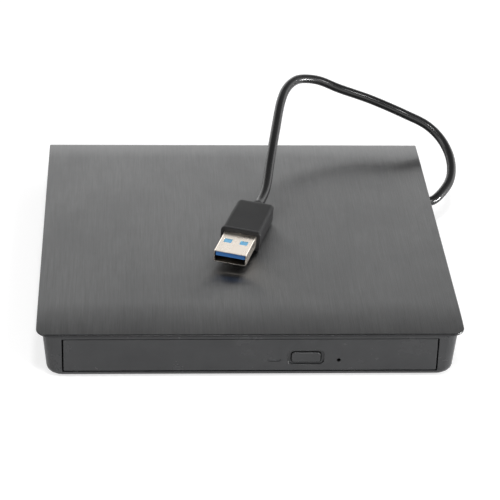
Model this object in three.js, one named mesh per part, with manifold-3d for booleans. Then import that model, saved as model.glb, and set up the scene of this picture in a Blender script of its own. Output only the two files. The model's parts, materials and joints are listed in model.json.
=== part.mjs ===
// External slim disc drive: a flat case, a drawer with its disc mechanism and a short captive lead.
// Millimetres, +X to the right, +Y to the back, +Z up. The origin lies on the table, under the
// middle of the case.
import * as THREE from 'three';
import { mergeVertices } from 'three/addons/utils/BufferGeometryUtils.js';
import Module from 'manifold-3d';

const wasm = await Module();
wasm.setup();

// The disc that the drawer takes sets the drive unit's size, and the drive unit sets the case's
const discRadius = 60;

// Clearances shared by all pieces
const fit = 0.3;
const seat = 0.1;
const overrun = 1;

// Case
const standHeight = 0.9;
const bayLip = 1.5;
const bayHeight = 13.15;
const bayStrip = 1.35;
const lidSeam = 0.12;
const lidThick = 1.43;
const lid = {
  frontDrop: 0.75, frontRun: 21, edgeRound: 0.3, cornerRound: 4.8,
  spineRound: 3.2, spineWall: 1.2, crownRun: 11, crownDrop: 0.25, spineClear: 2.4,
  skirtDepth: 1.2, skirtThick: 1, ribThick: 1, ribDepth: 0.9, bossRadius: 3,
};
const lidRibShares = [-0.3, -0.1, 0.1, 0.3];
const base = {
  sideOverhang: 2.1, frontOverhang: 1, backGap: 1.8, rearSpace: 17.2, cheek: 6.65, bayGap: 1.05,
  draft: 1.45, sideRound: 2.9, lowRound: 2.9, frontRound: 1.2, cornerRound: 3.4, mouthRound: 0.25,
  sideWall: 1.6, frontWall: 2, backWall: 1.5, floorThick: 1.2, innerRound: 2.2,
  ribHeight: 0.45, ribThick: 1.4, ribGap: 0.35, ribTop: 10,
};
const floorRibShares = [-0.36, -0.12, 0.12, 0.36];
const sideRibShares = [-0.38, -0.08, 0.16];
const foot = { radius: 4.5, recess: 0.6, taper: 0.5, fromSide: 11.4, fromFront: 12.5, fromBack: 7.7 };
const caseScrew = {
  headRadius: 2.2, headHeight: 1.2, shankRadius: 1.1, length: 11, postRadius: 4, postTop: 8.7,
};

// Drive unit
const drive = {
  sideGap: 0.8, backGap: 0.7, sheet: 0.6, floorGap: 0.3, wallTop: 14.9, coverTop: 15.45,
  coverSheet: 0.5, coverFold: 0.25, lipDepth: 3.5, foldRound: 0.8, holeRadius: 3,
};
const panHoleShares = [[-0.3, -0.3], [0.3, -0.3], [0, 0.34]];
const bezel = { lowGap: 0.4, highGap: 0.2, sideGap: 0.45, thick: 4, wall: 1.2, round: 0.5 };
const button = {
  left: 13.95, right: 24.05, low: 6.04, high: 9.92, cornerRound: 1.1, panelLeft: 12.7, panelRight: 25.15,
  panelLow: 5.3, panelHigh: 10.8, panelRound: 1.6, panelDepth: 0.6, capDepth: 2.4, stemWidth: 4,
  stemHeight: 1.8, stemPast: 1, travel: 0.8,
};
const light = { left: 5.9, right: 10.1, low: 6.55, high: 7.35, pipeDepth: 5.2, set: 0.15 };
const pinhole = { x: 30.3, z: 6.95, radius: 0.7 };

// Drawer
const tray = {
  rim: 2.3, endRim: 0.8, recessGap: 0.6, deckLow: 8.9, deckHigh: 13.9, cornerRound: 2, recessFloor: 10.4,
  smallRadius: 40.6, smallFloor: 9.8, skirtGap: 1, skirtThick: 1.5, skirtLow: 4.3, notchRadius: 9,
  notchPast: 1.4, rootShort: 1,
};
const notchDegrees = [-45, -135];
const rail = {
  width: 3.3, webThick: 1.4, low: 5.1, high: 7.4, slotLow: 5.7, slotHigh: 6.8, fromFront: 4.4, fromBack: 3.2,
};
const guide = { lip: 1.2, thick: 1, flange: 0.8, fromFront: 1.7, fromBack: 0.2 };

// Disc mechanism, in its own frame: U outwards along the sled's travel, V across it
const mech = {
  angleDegrees: 48, plateLow: 4.6, plateThick: 1, innerEnd: -14, past: 2.4, sideLow: -17.3,
  sideHigh: 21, sideMid: 15, neckEnd: 6.5, sideMotor: 13.8, screwShort: 4.2, windowIn: 12.4,
  windowHalf: 15.2, windowRound: 1.5, openIn: -13.5, openShort: 1.1, openHalf: 15.5,
  openRound: 4, pocketPast: 1, pocketTop: 10, hubOpening: 14,
};
const rod = {
  v: 12.5, radius: 1.2, z: 6.8, blockHalf: 2.2, blockLength: 2.4, blockTop: 8.5, blockRound: 1.1, blind: 0.5,
};
const sled = {
  lensU: 24, innerReach: 11, outerReach: 7, bellyReach: 4, halfWidth: 10, low: 4.75, step: 5.95, top: 9.4,
  armIn: 13.5, armOut: 27.5, hookIn: 17, hookOut: 23.5, armTop: 8.6, armWall: 2.5, armRoot: 1, armRound: 0.6,
  bore: 1.5, pocketHalfV: 5, pocketIn: 4.6, pocketOut: 5.2, pocketFloor: 7, crescent: 13.6,
};
const lens = {
  radius: 2.1, holderHalf: 3.4, holderThick: 1.7, holderLift: 0.6, dome: 0.7, domeRings: 4, wireV: 2.8,
  wireThick: 0.2, wireHeight: 0.6,
};
const screw = { v: 17.9, z: 6.6, radius: 1, journal: 0.9, bore: 1.3, endShort: 5, tail: 1 };
const motor = { length: 17, radius: 3.1, low: 4.5, high: 8.6, flangeThick: 0.8, blind: 2 };
const nut = { length: 4, wall: 1.2, low: 5.9, high: 8.55, atU: 18.2 };
const rotor = {
  baseRadius: 11.3, baseThick: 0.65, tubeRadius: 2.5, tubeTop: 7.9, canRadius: 9.8, canLow: 6.7, canTop: 10,
  canWall: 0.8, canRoof: 0.7, canRound: 0.35, shaftRadius: 1, shaftLow: 6.6, shaftBore: 1.3,
  poleRadius: 8.3, poleTip: 0.65, poleRoot: 4.2, coreRadius: 4.3, coreLow: 6.3, poleLow: 6.9, poleHigh: 8.5,
  poles: 9, poleNeckShare: 0.3, poleTipShare: 0.72,
};
const table = {
  radius: 12.4, low: 10.1, ringTop: 11.2, ringRound: 0.3, grooveWidth: 1, grooveDepth: 0.3, hubRadius: 7.3,
  hubTop: 13.3, hubChamfer: 0.9, dishRadius: 3.65, dishDepth: 0.3, slotWidth: 3.6, slotIn: 4.2,
  slotLow: 11.5, jaws: 3,
};
const jaw = { inner: 5.2, outer: 7.75, width: 3, low: 11.6, high: 12.9, nose: 0.6, lead: 0.3 };
const damper = {
  bore: 1.5, radius: 3.2, neck: 2.1, top: 8.6, pin: 1.2, hole: 2.4, ear: 4.2, tab: 1, innerU: -8, fromEnd: 13,
  middleU: 22, lowV: -20.5, highV: 24.6,
};

// Boards and small inner pieces, set back from the drawer's or the drive unit's ends
const mainBoard = {
  fromSkirt: 1.7, right: -28, fromFront: 10.4, fromBack: 9.2, low: 5.2, thick: 1, inset: 1.6,
};
const mainChip = { half: 7, thick: 1.4 };
const frontBoard = { left: 2, right: 36, depth: 6.6, low: 5.6, thick: 1, inset: 2 };
const tact = { halfWidth: 3, depth: 4, height: 2.1, stemZ: 7.9, stemRadius: 0.9, stemOut: 0.6 };
const bridge = { fromPost: 1, fromDrive: 2.9, fromBack: 2.3, low: 8.4, thick: 1 };
const bridgePost = { fromEnd: 2.8, halfX: 1.4, fromBack: 3.5, halfY: 2.1 };
const bridgeChip = { x: 4, half: 3.6, thick: 1 };
const crystal = { x: 22, length: 9, width: 3.6, height: 2.2 };
const link = {
  fromPan: 15.1, width: 34, low: 4.1, high: 8.3, length: 6.7, gap: 0.3, socketDepth: 6.6, wall: 1, mouth: 2,
  round: 0.5, clear: 1,
};
const latch = {
  pivotIn: 17.2, fromBack: 17, pivotRadius: 1, bossRadius: 2.3, low: 5.2, thick: 1.2, armWidth: 2,
  postIn: 14.9, postFromBack: 8, postRadius: 0.8, postFoot: 1.6, fingerThick: 1.6, fingerReach: 2.1,
  forkIn: 9.4,
};
const solenoid = {
  sideIn: 4.8, width: 7.6, fromBack: 12.7, length: 8, low: 4.4, high: 8.5, round: 1, bore: 7,
};
const plunger = { radius: 0.9, neck: 0.5, collar: 1.5, collarLength: 0.8, z: 5.8, inside: 4.6 };
const pusher = { sideIn: 28, z: 6.6, radius: 1.1, fromBack: 10, short: 1, out: 0.3, sleeve: 2 };
const ribbon = {
  inset: 1, width: 12, low: 3.85, high: 4.5, thick: 0.15, foldFromBack: 66.5, fromBack: 16.5, tab: 3,
};

// Lead, gland and plug
const cable = {
  radius: 1.8, sides: 8, steps: 46, innerRadius: 1.5, innerSteps: 26, innerTurn: 4, innerShort: 5,
  exitFromBack: 36.5, exitZ: 11.4,
};
const gland = { bodyRadius: 2.7, flangeRadius: 3.3, out: 0.5, depth: 2.4 };
const plug = {
  tipX: -5.8, tipY: -28.85, turnDegrees: -17, rollDegrees: 2, shellWidth: 12, shellHeight: 4.5,
  shellWall: 0.32, shellRound: 0.64, shellShow: 14.8, shellHidden: 4, moldWidth: 14.9, moldHeight: 7.6,
  moldLength: 24, moldRound: 1.4, collarRadius: 2.4, collarLength: 3.4, collarRing: 3, ringLength: 1.2,
  lift: 0.1, tongueWidth: 10.2, tongueThick: 1.9, tongueSet: 0.7, tongueFoot: 3.2, windowWidth: 2.9,
  windowLength: 2.9, windowPitch: 5.9, windowBack: 6.9,
};
const moldShares = [[0, 0.97, 0.96], [0.01, 1, 1], [0.05, 1, 1], [0.065, 0.955, 0.95], [0.5, 0.95, 0.945],
  [0.94, 0.94, 0.93], [0.98, 0.9, 0.88], [1, 0.82, 0.78]];

// The free lead as it stands in the air: its first half from the end of the plug's collar, the second
// to the gland's mouth
const leadFromPlug = [
  [0.1, 0.33, 0], [0.85, 2.65, 0], [3.3, 10.5, 1.1], [5.9, 25.7, 6.1], [8.5, 40.2, 11.3], [11.6, 56.3, 16.7],
  [13.9, 63.5, 18.4], [16.8, 68.7, 19.1], [20.2, 72.2, 19],
];
const leadToGland = [
  [-37.9, 51.5, 28.3], [-29.1, 50.7, 25], [-17, 47.3, 22], [-3.1, 40.7, 18.4], [5.6, 37.8, 14.9],
  [10.7, 33.1, 11.4], [13.5, 25.8, 7.8], [13.55, 17.3, 4.9], [11.8, 10.8, 3.1], [8.8, 5.8, 1.6],
  [5.8, 2.1, 0.6], [4.3, 0.96, 0.2], [2.4, 0.2, 0], [0.8, 0, 0], [0, 0, 0],
];

// Widths that follow from the disc outwards
const trayHalf = discRadius + tray.rim;
const recessRadius = discRadius + tray.recessGap;
const panInnerHalf = trayHalf + drive.sideGap;
const driveHalf = panInnerHalf + drive.sheet;
const bayHalf = driveHalf + base.bayGap;
const bezelHalf = bayHalf - bezel.sideGap;
const baseHalf = bayHalf + base.cheek;
const lidHalf = baseHalf + base.sideOverhang;
const guideBack = panInnerHalf - fit - guide.thick;
const railOuter = guideBack - fit;
const railInner = railOuter - rail.width;
const railWeb = railOuter - rail.webThick;
const skirtHalf = railInner - tray.skirtGap;
const footX = baseHalf - foot.fromSide;

// Depths from the front edge of the lid to its spine
const trayDepth = discRadius * 2 + tray.endRim * 2;
const lidDepth = base.frontOverhang + bezel.thick + seat + trayDepth + drive.backGap + drive.sheet
  + base.rearSpace + base.backGap;
const lidFront = -lidDepth / 2;
const lidBack = lidDepth / 2;
const faceY = lidFront + base.frontOverhang;
const bezelBack = faceY + bezel.thick;
const driveFront = bezelBack + fit;
const trayFront = bezelBack + seat;
const trayBack = trayFront + trayDepth;
const spindleY = trayFront + trayDepth / 2;
const panInnerBack = trayBack + drive.backGap;
const driveBack = panInnerBack + drive.sheet;
const baseBack = driveBack + base.rearSpace;
const spineIn = lidBack - lid.spineWall;
const spineInner = lid.spineRound - lid.spineWall;
const footFrontY = faceY + foot.fromFront;
const footBackY = baseBack - foot.fromBack;
const boardLeft = mainBoard.fromSkirt + tray.skirtThick - skirtHalf;
const boardFront = trayFront + mainBoard.fromFront;
const boardBack = trayBack - mainBoard.fromBack;
const bridgeHalf = footX - caseScrew.postRadius - bridge.fromPost;
const bridgeFront = driveBack + bridge.fromDrive;
const bridgeBack = baseBack - bridge.fromBack;
const bridgeMiddle = (bridgeFront + bridgeBack) / 2;
const linkFront = driveBack - link.length;
const linkLeft = link.fromPan - panInnerHalf;
const linkRight = linkLeft + link.width;
const pivotX = linkRight + latch.pivotIn;
const postX = linkRight + latch.postIn;
const forkX = linkRight + latch.forkIn;
const coilLeft = linkRight + solenoid.sideIn;
const coilRight = coilLeft + solenoid.width;
const pusherX = linkRight + pusher.sideIn;
const pivotY = driveBack - latch.fromBack;
const postY = driveBack - latch.postFromBack;
const coilFront = driveBack - solenoid.fromBack;
const pusherFront = driveBack - pusher.fromBack;
const exitY = baseBack - cable.exitFromBack;

// Heights
const baseLow = standHeight;
const floorTop = baseLow + base.floorThick;
const bayLow = baseLow + bayLip;
const bayHigh = bayLow + bayHeight;
const baseTop = bayHigh + bayStrip;
const lidLow = baseTop + lidSeam;
const lidTop = lidLow + lidThick;
const driveLow = bayLow + drive.floorGap;
const panFloor = driveLow + drive.sheet;
const bezelLow = bayLow + bezel.lowGap;
const bezelHigh = bayHigh - bezel.highGap;
const plateTop = mech.plateLow + mech.plateThick;
const plugTurn = THREE.MathUtils.degToRad(plug.turnDegrees);
const plugRoll = THREE.MathUtils.degToRad(plug.rollDegrees);
const plugAxis = lidTop + plug.lift + plug.moldRound
  + (plug.moldWidth / 2 - plug.moldRound) * Math.sin(plugRoll)
  + (plug.moldHeight / 2 - plug.moldRound) * Math.cos(plugRoll);
const wallAt = (z) => baseHalf - (base.draft * (baseTop - z)) / (baseTop - baseLow);

// Mechanism ends along the sled's travel
const mechEnd = recessRadius + mech.past;
const windowEnd = mechEnd - rod.blockLength;
const screwEnd = mechEnd - screw.endShort;
const damperSpots = [[damper.innerU, damper.lowV], [mechEnd - damper.fromEnd, damper.lowV],
  [damper.middleU, damper.highV]];

// Finishes
const finish = (color, roughness, metalness) => new THREE.MeshStandardMaterial({
  color, roughness, metalness,
});
const finishes = {
  brushed: () => finish(0x55565a, 0.38, 0.5),
  satinBlack: () => finish(0x3b3c3f, 0.5, 0),
  gloss: () => finish(0x2b2b2d, 0.25, 0),
  rubber: () => finish(0x1c1c1d, 0.8, 0),
  leadBlack: () => finish(0x222224, 0.45, 0),
  sheet: () => finish(0xb9bcc0, 0.35, 0.9),
  steel: () => finish(0x9c9fa4, 0.3, 0.95),
  gold: () => finish(0xd9cba8, 0.28, 0.95),
  blue: () => finish(0x1769c8, 0.4, 0),
  board: () => finish(0x1e5a3c, 0.5, 0),
  chip: () => finish(0x1b1b1d, 0.5, 0),
  white: () => finish(0xe4e4e0, 0.5, 0),
  amber: () => finish(0xb87a2c, 0.45, 0),
  clear: () => finish(0xcfd8dc, 0.1, 0),
};

// Solids: a closed geometry becomes a manifold, and a manifold becomes a geometry again
function solid(geometry, matrix) {
  const bare = geometry.clone();
  if (matrix) bare.applyMatrix4(matrix);
  bare.deleteAttribute('normal');
  bare.deleteAttribute('uv');
  const merged = mergeVertices(bare, 1e-5);
  return new wasm.Manifold(new wasm.Mesh({
    numProp: 3,
    vertProperties: new Float32Array(merged.attributes.position.array),
    triVerts: new Uint32Array(merged.index.array),
  }));
}

function geometryOf(manifold) {
  const mesh = manifold.getMesh();
  const geometry = new THREE.BufferGeometry();
  geometry.setAttribute('position', new THREE.BufferAttribute(new Float32Array(mesh.vertProperties), 3));
  geometry.setIndex(new THREE.BufferAttribute(new Uint32Array(mesh.triVerts), 1));
  geometry.computeVertexNormals();
  return geometry;
}

function join(first, ...others) {
  return others.reduce((whole, next) => whole.add(next), first);
}

function cut(first, ...others) {
  return others.reduce((whole, next) => whole.subtract(next), first);
}

function box(x0, x1, y0, y1, z0, z1) {
  const geometry = new THREE.BoxGeometry(x1 - x0, y1 - y0, z1 - z0);
  geometry.translate((x0 + x1) / 2, (y0 + y1) / 2, (z0 + z1) / 2);
  return solid(geometry);
}

// A flat outline drawn in two axes and extruded along the third
const planes = {
  z: new THREE.Matrix4(),
  x: new THREE.Matrix4().makeBasis(
    new THREE.Vector3(0, 1, 0), new THREE.Vector3(0, 0, 1), new THREE.Vector3(1, 0, 0)),
  y: new THREE.Matrix4().makeBasis(
    new THREE.Vector3(1, 0, 0), new THREE.Vector3(0, 0, 1), new THREE.Vector3(0, -1, 0)),
};

function prism(axis, shape, from, to, arcSides = 4, bevel = 0) {
  const geometry = new THREE.ExtrudeGeometry(shape, {
    depth: to - from - 2 * bevel, curveSegments: Math.ceil(arcSides / 2), bevelEnabled: bevel > 0,
    bevelThickness: bevel, bevelSize: bevel, bevelOffset: -bevel, bevelSegments: 1,
  });
  geometry.translate(0, 0, (axis === 'y' ? -to : from) + bevel);
  return solid(geometry, planes[axis]);
}

function outline(points) {
  return new THREE.Shape(points.map(([a, b]) => new THREE.Vector2(a, b)));
}

function roundRect(a0, a1, b0, b1, round) {
  const shape = new THREE.Shape();
  shape.moveTo(a0 + round, b0);
  shape.lineTo(a1 - round, b0);
  shape.absarc(a1 - round, b0 + round, round, -Math.PI / 2, 0);
  shape.lineTo(a1, b1 - round);
  shape.absarc(a1 - round, b1 - round, round, 0, Math.PI / 2);
  shape.lineTo(a0 + round, b1);
  shape.absarc(a0 + round, b1 - round, round, Math.PI / 2, Math.PI);
  shape.lineTo(a0, b0 + round);
  shape.absarc(a0 + round, b0 + round, round, Math.PI, 1.5 * Math.PI);
  return shape;
}

function disc(a, b, radius) {
  const shape = new THREE.Shape();
  shape.absarc(a, b, radius, 0, 2 * Math.PI);
  return shape;
}

function rodSolid(axis, a, b, radius, from, to, sides = 16) {
  return prism(axis, disc(a, b, radius), from, to, sides);
}

// A turned piece about the Z axis, from [radius, height] pairs that start and end on the axis
function turned(profile, x = 0, y = 0, segments = 24) {
  const points = profile.map(([radius, height]) => new THREE.Vector2(radius, height));
  const geometry = new THREE.LatheGeometry(points, segments);
  geometry.rotateX(Math.PI / 2);
  geometry.translate(x, y, 0);
  return solid(geometry);
}

// A skin through rings of equal point count, closed by a flat fan at each end
function loft(rings) {
  const count = rings[0].length;
  const positions = rings.flat(2);
  const index = [];
  for (let level = 0; level < rings.length - 1; level += 1) {
    for (let i = 0; i < count; i += 1) {
      const a = level * count + i;
      const b = level * count + (i + 1) % count;
      index.push(a, b, b + count, a, b + count, a + count);
    }
  }
  const last = (rings.length - 1) * count;
  for (let i = 1; i < count - 1; i += 1) {
    index.push(0, i + 1, i, last, last + i, last + i + 1);
  }
  const geometry = new THREE.BufferGeometry();
  geometry.setAttribute('position', new THREE.Float32BufferAttribute(positions, 3));
  geometry.setIndex(index);
  return solid(geometry);
}

// A rounded rectangle's points at one height, anticlockwise from above
function ring(x0, x1, y0, y1, round, z, segments = 5) {
  const quarter = Math.PI / 2;
  const corners = [[x1 - round, y0 + round], [x1 - round, y1 - round], [x0 + round, y1 - round],
    [x0 + round, y0 + round]];
  const points = [];
  corners.forEach(([cx, cy], turn) => {
    for (let i = 0; i <= segments; i += 1) {
      const angle = quarter * (turn - 1 + i / segments);
      points.push([cx + round * Math.cos(angle), cy + round * Math.sin(angle), z]);
    }
  });
  return points;
}

const object = new THREE.Group();
const mechanism = new THREE.Group();
mechanism.position.set(0, spindleY, 0);
mechanism.rotation.z = THREE.MathUtils.degToRad(mech.angleDegrees);
mechanism.updateMatrix();
const plugGroup = new THREE.Group();
plugGroup.position.set(plug.tipX, plug.tipY, plugAxis);
plugGroup.rotation.set(0, plugRoll, plugTurn, 'ZYX');
object.add(mechanism, plugGroup);

function piece(name, shape, material, parent = object) {
  const mesh = new THREE.Mesh(shape.isBufferGeometry ? shape : geometryOf(shape), material);
  mesh.name = name;
  parent.add(mesh);
}

function inMechanism(manifold) {
  return solid(geometryOf(manifold), mechanism.matrix);
}

// Top cover: the side profile runs from the rolled front edge over the crown and down the spine
function makeTopCover() {
  const spineLow = baseLow + lid.spineClear;
  const crownTop = lidTop - lid.crownDrop;
  const profile = new THREE.Shape();
  profile.moveTo(lidFront, spineLow);
  profile.lineTo(lidBack, spineLow);
  profile.lineTo(lidBack, crownTop - lid.spineRound);
  profile.absarc(lidBack - lid.spineRound, crownTop - lid.spineRound, lid.spineRound, 0, Math.PI / 2);
  profile.quadraticCurveTo(
    lidBack - lid.spineRound - lid.crownRun / 2, lidTop, lidBack - lid.spineRound - lid.crownRun, lidTop);
  profile.lineTo(lidFront + lid.frontRun, lidTop);
  profile.quadraticCurveTo(
    lidFront + lid.frontRun / 2, lidTop, lidFront + lid.edgeRound, lidTop - lid.frontDrop);
  profile.quadraticCurveTo(
    lidFront, lidTop - lid.frontDrop, lidFront, lidTop - lid.frontDrop - lid.edgeRound);
  const under = new THREE.Shape();
  under.moveTo(lidFront - overrun, 0);
  under.lineTo(spineIn, 0);
  under.absarc(spineIn - spineInner, lidLow - spineInner, spineInner, 0, Math.PI / 2);
  under.lineTo(lidFront - overrun, lidLow);
  const sheet = cut(prism('x', profile, -lidHalf, lidHalf, 8), prism('x', under, -lidHalf * 2, lidHalf * 2));
  const edgeLow = lidTop - lid.edgeRound;
  const face = outline([[-lidHalf, 0], [lidHalf, 0], [lidHalf, edgeLow], [lidHalf - lid.edgeRound, lidTop],
    [lid.edgeRound - lidHalf, lidTop], [-lidHalf, edgeLow]]);
  const plan = new THREE.Shape();
  const wide = lidHalf + overrun;
  const cornerX = lidHalf - lid.cornerRound;
  const cornerY = lidFront + lid.cornerRound;
  plan.moveTo(-wide, lidBack + overrun);
  plan.lineTo(-wide, cornerY);
  plan.lineTo(-lidHalf, cornerY);
  plan.absarc(-cornerX, cornerY, lid.cornerRound, Math.PI, 1.5 * Math.PI);
  plan.lineTo(cornerX, lidFront);
  plan.absarc(cornerX, cornerY, lid.cornerRound, -Math.PI / 2, 0);
  plan.lineTo(wide, cornerY);
  plan.lineTo(wide, lidBack + overrun);
  const trimmed = sheet.intersect(prism('z', plan, 0, lidTop + overrun, 8))
    .intersect(prism('y', face, lidFront - overrun, lidBack + overrun));
  const skirtX = baseHalf - base.sideWall - fit;
  const skirtFront = faceY + base.frontWall + fit;
  const skirtBack = baseBack - base.backWall - fit;
  const skirt = cut(
    prism('z', roundRect(-skirtX, skirtX, skirtFront, skirtBack, base.cornerRound / 2),
      lidLow - lid.skirtDepth, lidLow + seat),
    box(lid.skirtThick - skirtX, skirtX - lid.skirtThick, skirtFront + lid.skirtThick,
      skirtBack - lid.skirtThick, lidLow - lid.skirtDepth - overrun, lidLow));
  const ribs = lidRibShares.map((share) => {
    const y = share * lidDepth;
    return box(lid.skirtThick / 2 - skirtX, skirtX - lid.skirtThick / 2, y - lid.ribThick / 2,
      y + lid.ribThick / 2, lidLow - lid.ribDepth, lidLow + seat);
  });
  const screwTop = baseLow + foot.recess + seat + caseScrew.headHeight + caseScrew.length;
  const bosses = [-footX, footX].map((x) => cut(
    rodSolid('z', x, footBackY, lid.bossRadius, caseScrew.postTop + fit, lidLow + seat),
    rodSolid('z', x, footBackY, caseScrew.shankRadius + fit, caseScrew.postTop, screwTop + fit)));
  piece('top_cover', join(trimmed, skirt, ...ribs, ...bosses), finishes.brushed());
}

// Base shell: a drafted tub lofted from its rounded underside to the rim, then hollowed
function makeBaseShell() {
  const steps = 4;
  const outer = [];
  for (let i = 0; i <= steps; i += 1) {
    const angle = (Math.PI / 2) * (i / steps);
    const z = baseLow + base.lowRound * (1 - Math.cos(angle));
    const inward = 1 - Math.sin(angle);
    const half = wallAt(z) - base.sideRound * inward;
    outer.push(ring(-half, half, faceY + base.frontRound * inward, baseBack - base.frontRound * inward,
      base.cornerRound, z));
  }
  outer.push(ring(-baseHalf, baseHalf, faceY, baseBack, base.cornerRound, baseTop));
  const inner = [[floorTop, base.innerRound], [floorTop + base.innerRound, 0], [baseTop + overrun, 0]]
    .map(([z, inward]) => {
      const half = wallAt(Math.min(z, baseTop)) - base.sideWall - inward;
      return ring(-half, half, faceY + base.frontWall, baseBack - base.backWall, base.cornerRound / 2, z);
    });
  const bay = prism('y', roundRect(-bayHalf, bayHalf, bayLow, bayHigh, base.mouthRound),
    faceY - overrun, faceY + base.frontWall + overrun, 2);
  const glandHole = rodSolid('x', exitY, cable.exitZ, gland.bodyRadius + fit, bayHalf, lidHalf, 18);
  const ribs = floorRibShares.map((share) => {
    const x = share * lidHalf * 2;
    return box(x - base.ribThick / 2, x + base.ribThick / 2, driveFront + overrun, driveBack,
      floorTop - seat, floorTop + base.ribHeight);
  });
  for (const share of sideRibShares) {
    const y = share * lidDepth;
    const reach = driveHalf + base.ribGap;
    for (const [x0, x1] of [[-baseHalf, -reach], [reach, baseHalf]]) {
      ribs.push(box(x0, x1, y - base.ribThick / 2, y + base.ribThick / 2, floorTop - seat, base.ribTop));
    }
  }
  for (const x of [bridgePost.fromEnd - bridgeHalf, bridgeHalf - bridgePost.fromEnd]) {
    const y = bridgeBack - bridgePost.fromBack;
    ribs.push(box(x - bridgePost.halfX, x + bridgePost.halfX, y - bridgePost.halfY, y + bridgePost.halfY,
      floorTop - seat, bridge.low - seat));
  }
  for (const x of [-footX, footX]) {
    ribs.push(rodSolid('z', x, footBackY, caseScrew.postRadius, floorTop - seat, caseScrew.postTop, 20));
  }
  const recesses = [];
  for (const x of [-footX, footX]) {
    for (const y of [footFrontY, footBackY]) {
      recesses.push(rodSolid('z', x, y, foot.radius + fit, 0, baseLow + foot.recess, 24));
    }
    const headTop = baseLow + foot.recess + seat + caseScrew.headHeight + seat;
    recesses.push(rodSolid('z', x, footBackY, caseScrew.headRadius + fit, 0, headTop));
    recesses.push(rodSolid('z', x, footBackY, caseScrew.shankRadius + fit, 0, lidLow));
  }
  const corner = cut(
    box(-lidHalf, lidHalf, spineIn - spineInner, lidBack + overrun, lidLow - spineInner, lidLow + overrun),
    rodSolid('x', spineIn - spineInner, lidLow - spineInner, spineInner - fit, -lidHalf, lidHalf, 32));
  const block = loft(outer);
  const shell = join(cut(block, loft(inner)), join(...ribs).intersect(block));
  piece('base_shell', cut(shell, bay, glandHole, corner, ...recesses), finishes.satinBlack());
}

function makeFeetAndScrews() {
  const places = [['front_left', -footX, footFrontY], ['front_right', footX, footFrontY],
    ['rear_left', -footX, footBackY], ['rear_right', footX, footBackY]];
  const top = baseLow + foot.recess - seat;
  for (const [place, x, y] of places) {
    piece(`foot_${place}`, turned([[0, 0], [foot.radius - foot.taper, 0], [foot.radius, foot.taper],
      [foot.radius, top], [0, top]], x, y), finishes.rubber());
  }
  const low = baseLow + foot.recess + seat;
  const headTop = low + caseScrew.headHeight;
  const end = headTop + caseScrew.length;
  for (const [side, x] of [['left', -footX], ['right', footX]]) {
    piece(`case_screw_${side}`, turned([[0, low], [caseScrew.headRadius, low],
      [caseScrew.headRadius, headTop], [caseScrew.shankRadius, headTop], [caseScrew.shankRadius, end],
      [0, end]], x, footBackY, 14), finishes.steel());
  }
}

// Drive unit: folded bottom pan, cover sheet with turned-down lips, rear connector and guides
function makeDriveUnit() {
  const above = box(-lidHalf, lidHalf, lidFront, lidBack, drive.wallTop, lidTop);
  const pan = prism('y', roundRect(-driveHalf, driveHalf, driveLow, drive.wallTop + overrun, drive.foldRound),
    driveFront, driveBack);
  const hollow = prism('y', roundRect(-panInnerHalf, panInnerHalf, panFloor, drive.wallTop + overrun * 2,
    drive.foldRound / 2), driveFront - overrun, panInnerBack);
  const window = box(linkLeft - fit, linkRight + fit, panInnerBack - overrun, driveBack + overrun,
    link.low - fit, link.high + fit);
  const holes = panHoleShares.map(([xShare, yShare]) => rodSolid('z', xShare * driveHalf * 2,
    yShare * lidDepth, drive.holeRadius, 0, panFloor + seat, 18));
  piece('drive_pan', cut(pan, hollow, above, window, ...holes), finishes.sheet());

  const lipHalf = driveHalf + fit;
  const lipOut = lipHalf + drive.coverFold;
  const coverLow = drive.coverTop - drive.coverSheet;
  piece('drive_cover', cut(
    prism('y', roundRect(-lipOut, lipOut, coverLow - drive.lipDepth, drive.coverTop, drive.coverFold),
      driveFront, driveBack),
    box(-lipHalf, lipHalf, driveFront - overrun, driveBack + overrun, 0, coverLow)), finishes.sheet());

  piece('rear_connector', cut(
    prism('y', roundRect(linkLeft, linkRight, link.low, link.high, link.round), linkFront, driveBack),
    box(linkLeft + link.wall, linkRight - link.wall, driveBack - link.mouth, driveBack + overrun,
      link.low + link.wall, link.high - link.wall)), finishes.chip());

  for (const [name, side] of [['guide_left', -1], ['guide_right', 1]]) {
    const lipX = side * (guideBack - guide.lip);
    const backX = side * guideBack;
    const outX = side * (guideBack + guide.thick);
    const low = rail.low - fit;
    const high = rail.high + fit;
    piece(name, prism('y', outline([[lipX, low - guide.flange], [outX, low - guide.flange],
      [outX, high + guide.flange], [lipX, high + guide.flange], [lipX, high], [backX, high], [backX, low],
      [lipX, low]]), driveFront + guide.fromFront, trayBack - guide.fromBack), finishes.white());
  }

  const postTop = latch.low + latch.thick + fit;
  const footTop = latch.low - fit - seat;
  piece('latch_post', turned([[0, panFloor + seat], [latch.postFoot, panFloor + seat],
    [latch.postFoot, footTop], [latch.postRadius, footTop], [latch.postRadius, postTop], [0, postTop]],
  postX, postY, 14), finishes.steel());
}

function makeRails() {
  for (const [name, side] of [['rail_left', -1], ['rail_right', 1]]) {
    const inX = side * railInner;
    const outX = side * railOuter;
    const webX = side * railWeb;
    piece(name, prism('y', outline([[inX, rail.low], [outX, rail.low], [outX, rail.high], [inX, rail.high],
      [inX, rail.slotHigh], [webX, rail.slotHigh], [webX, rail.slotLow], [inX, rail.slotLow]]),
    trayFront + rail.fromFront, trayBack - rail.fromBack), finishes.steel());
  }
}

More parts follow.
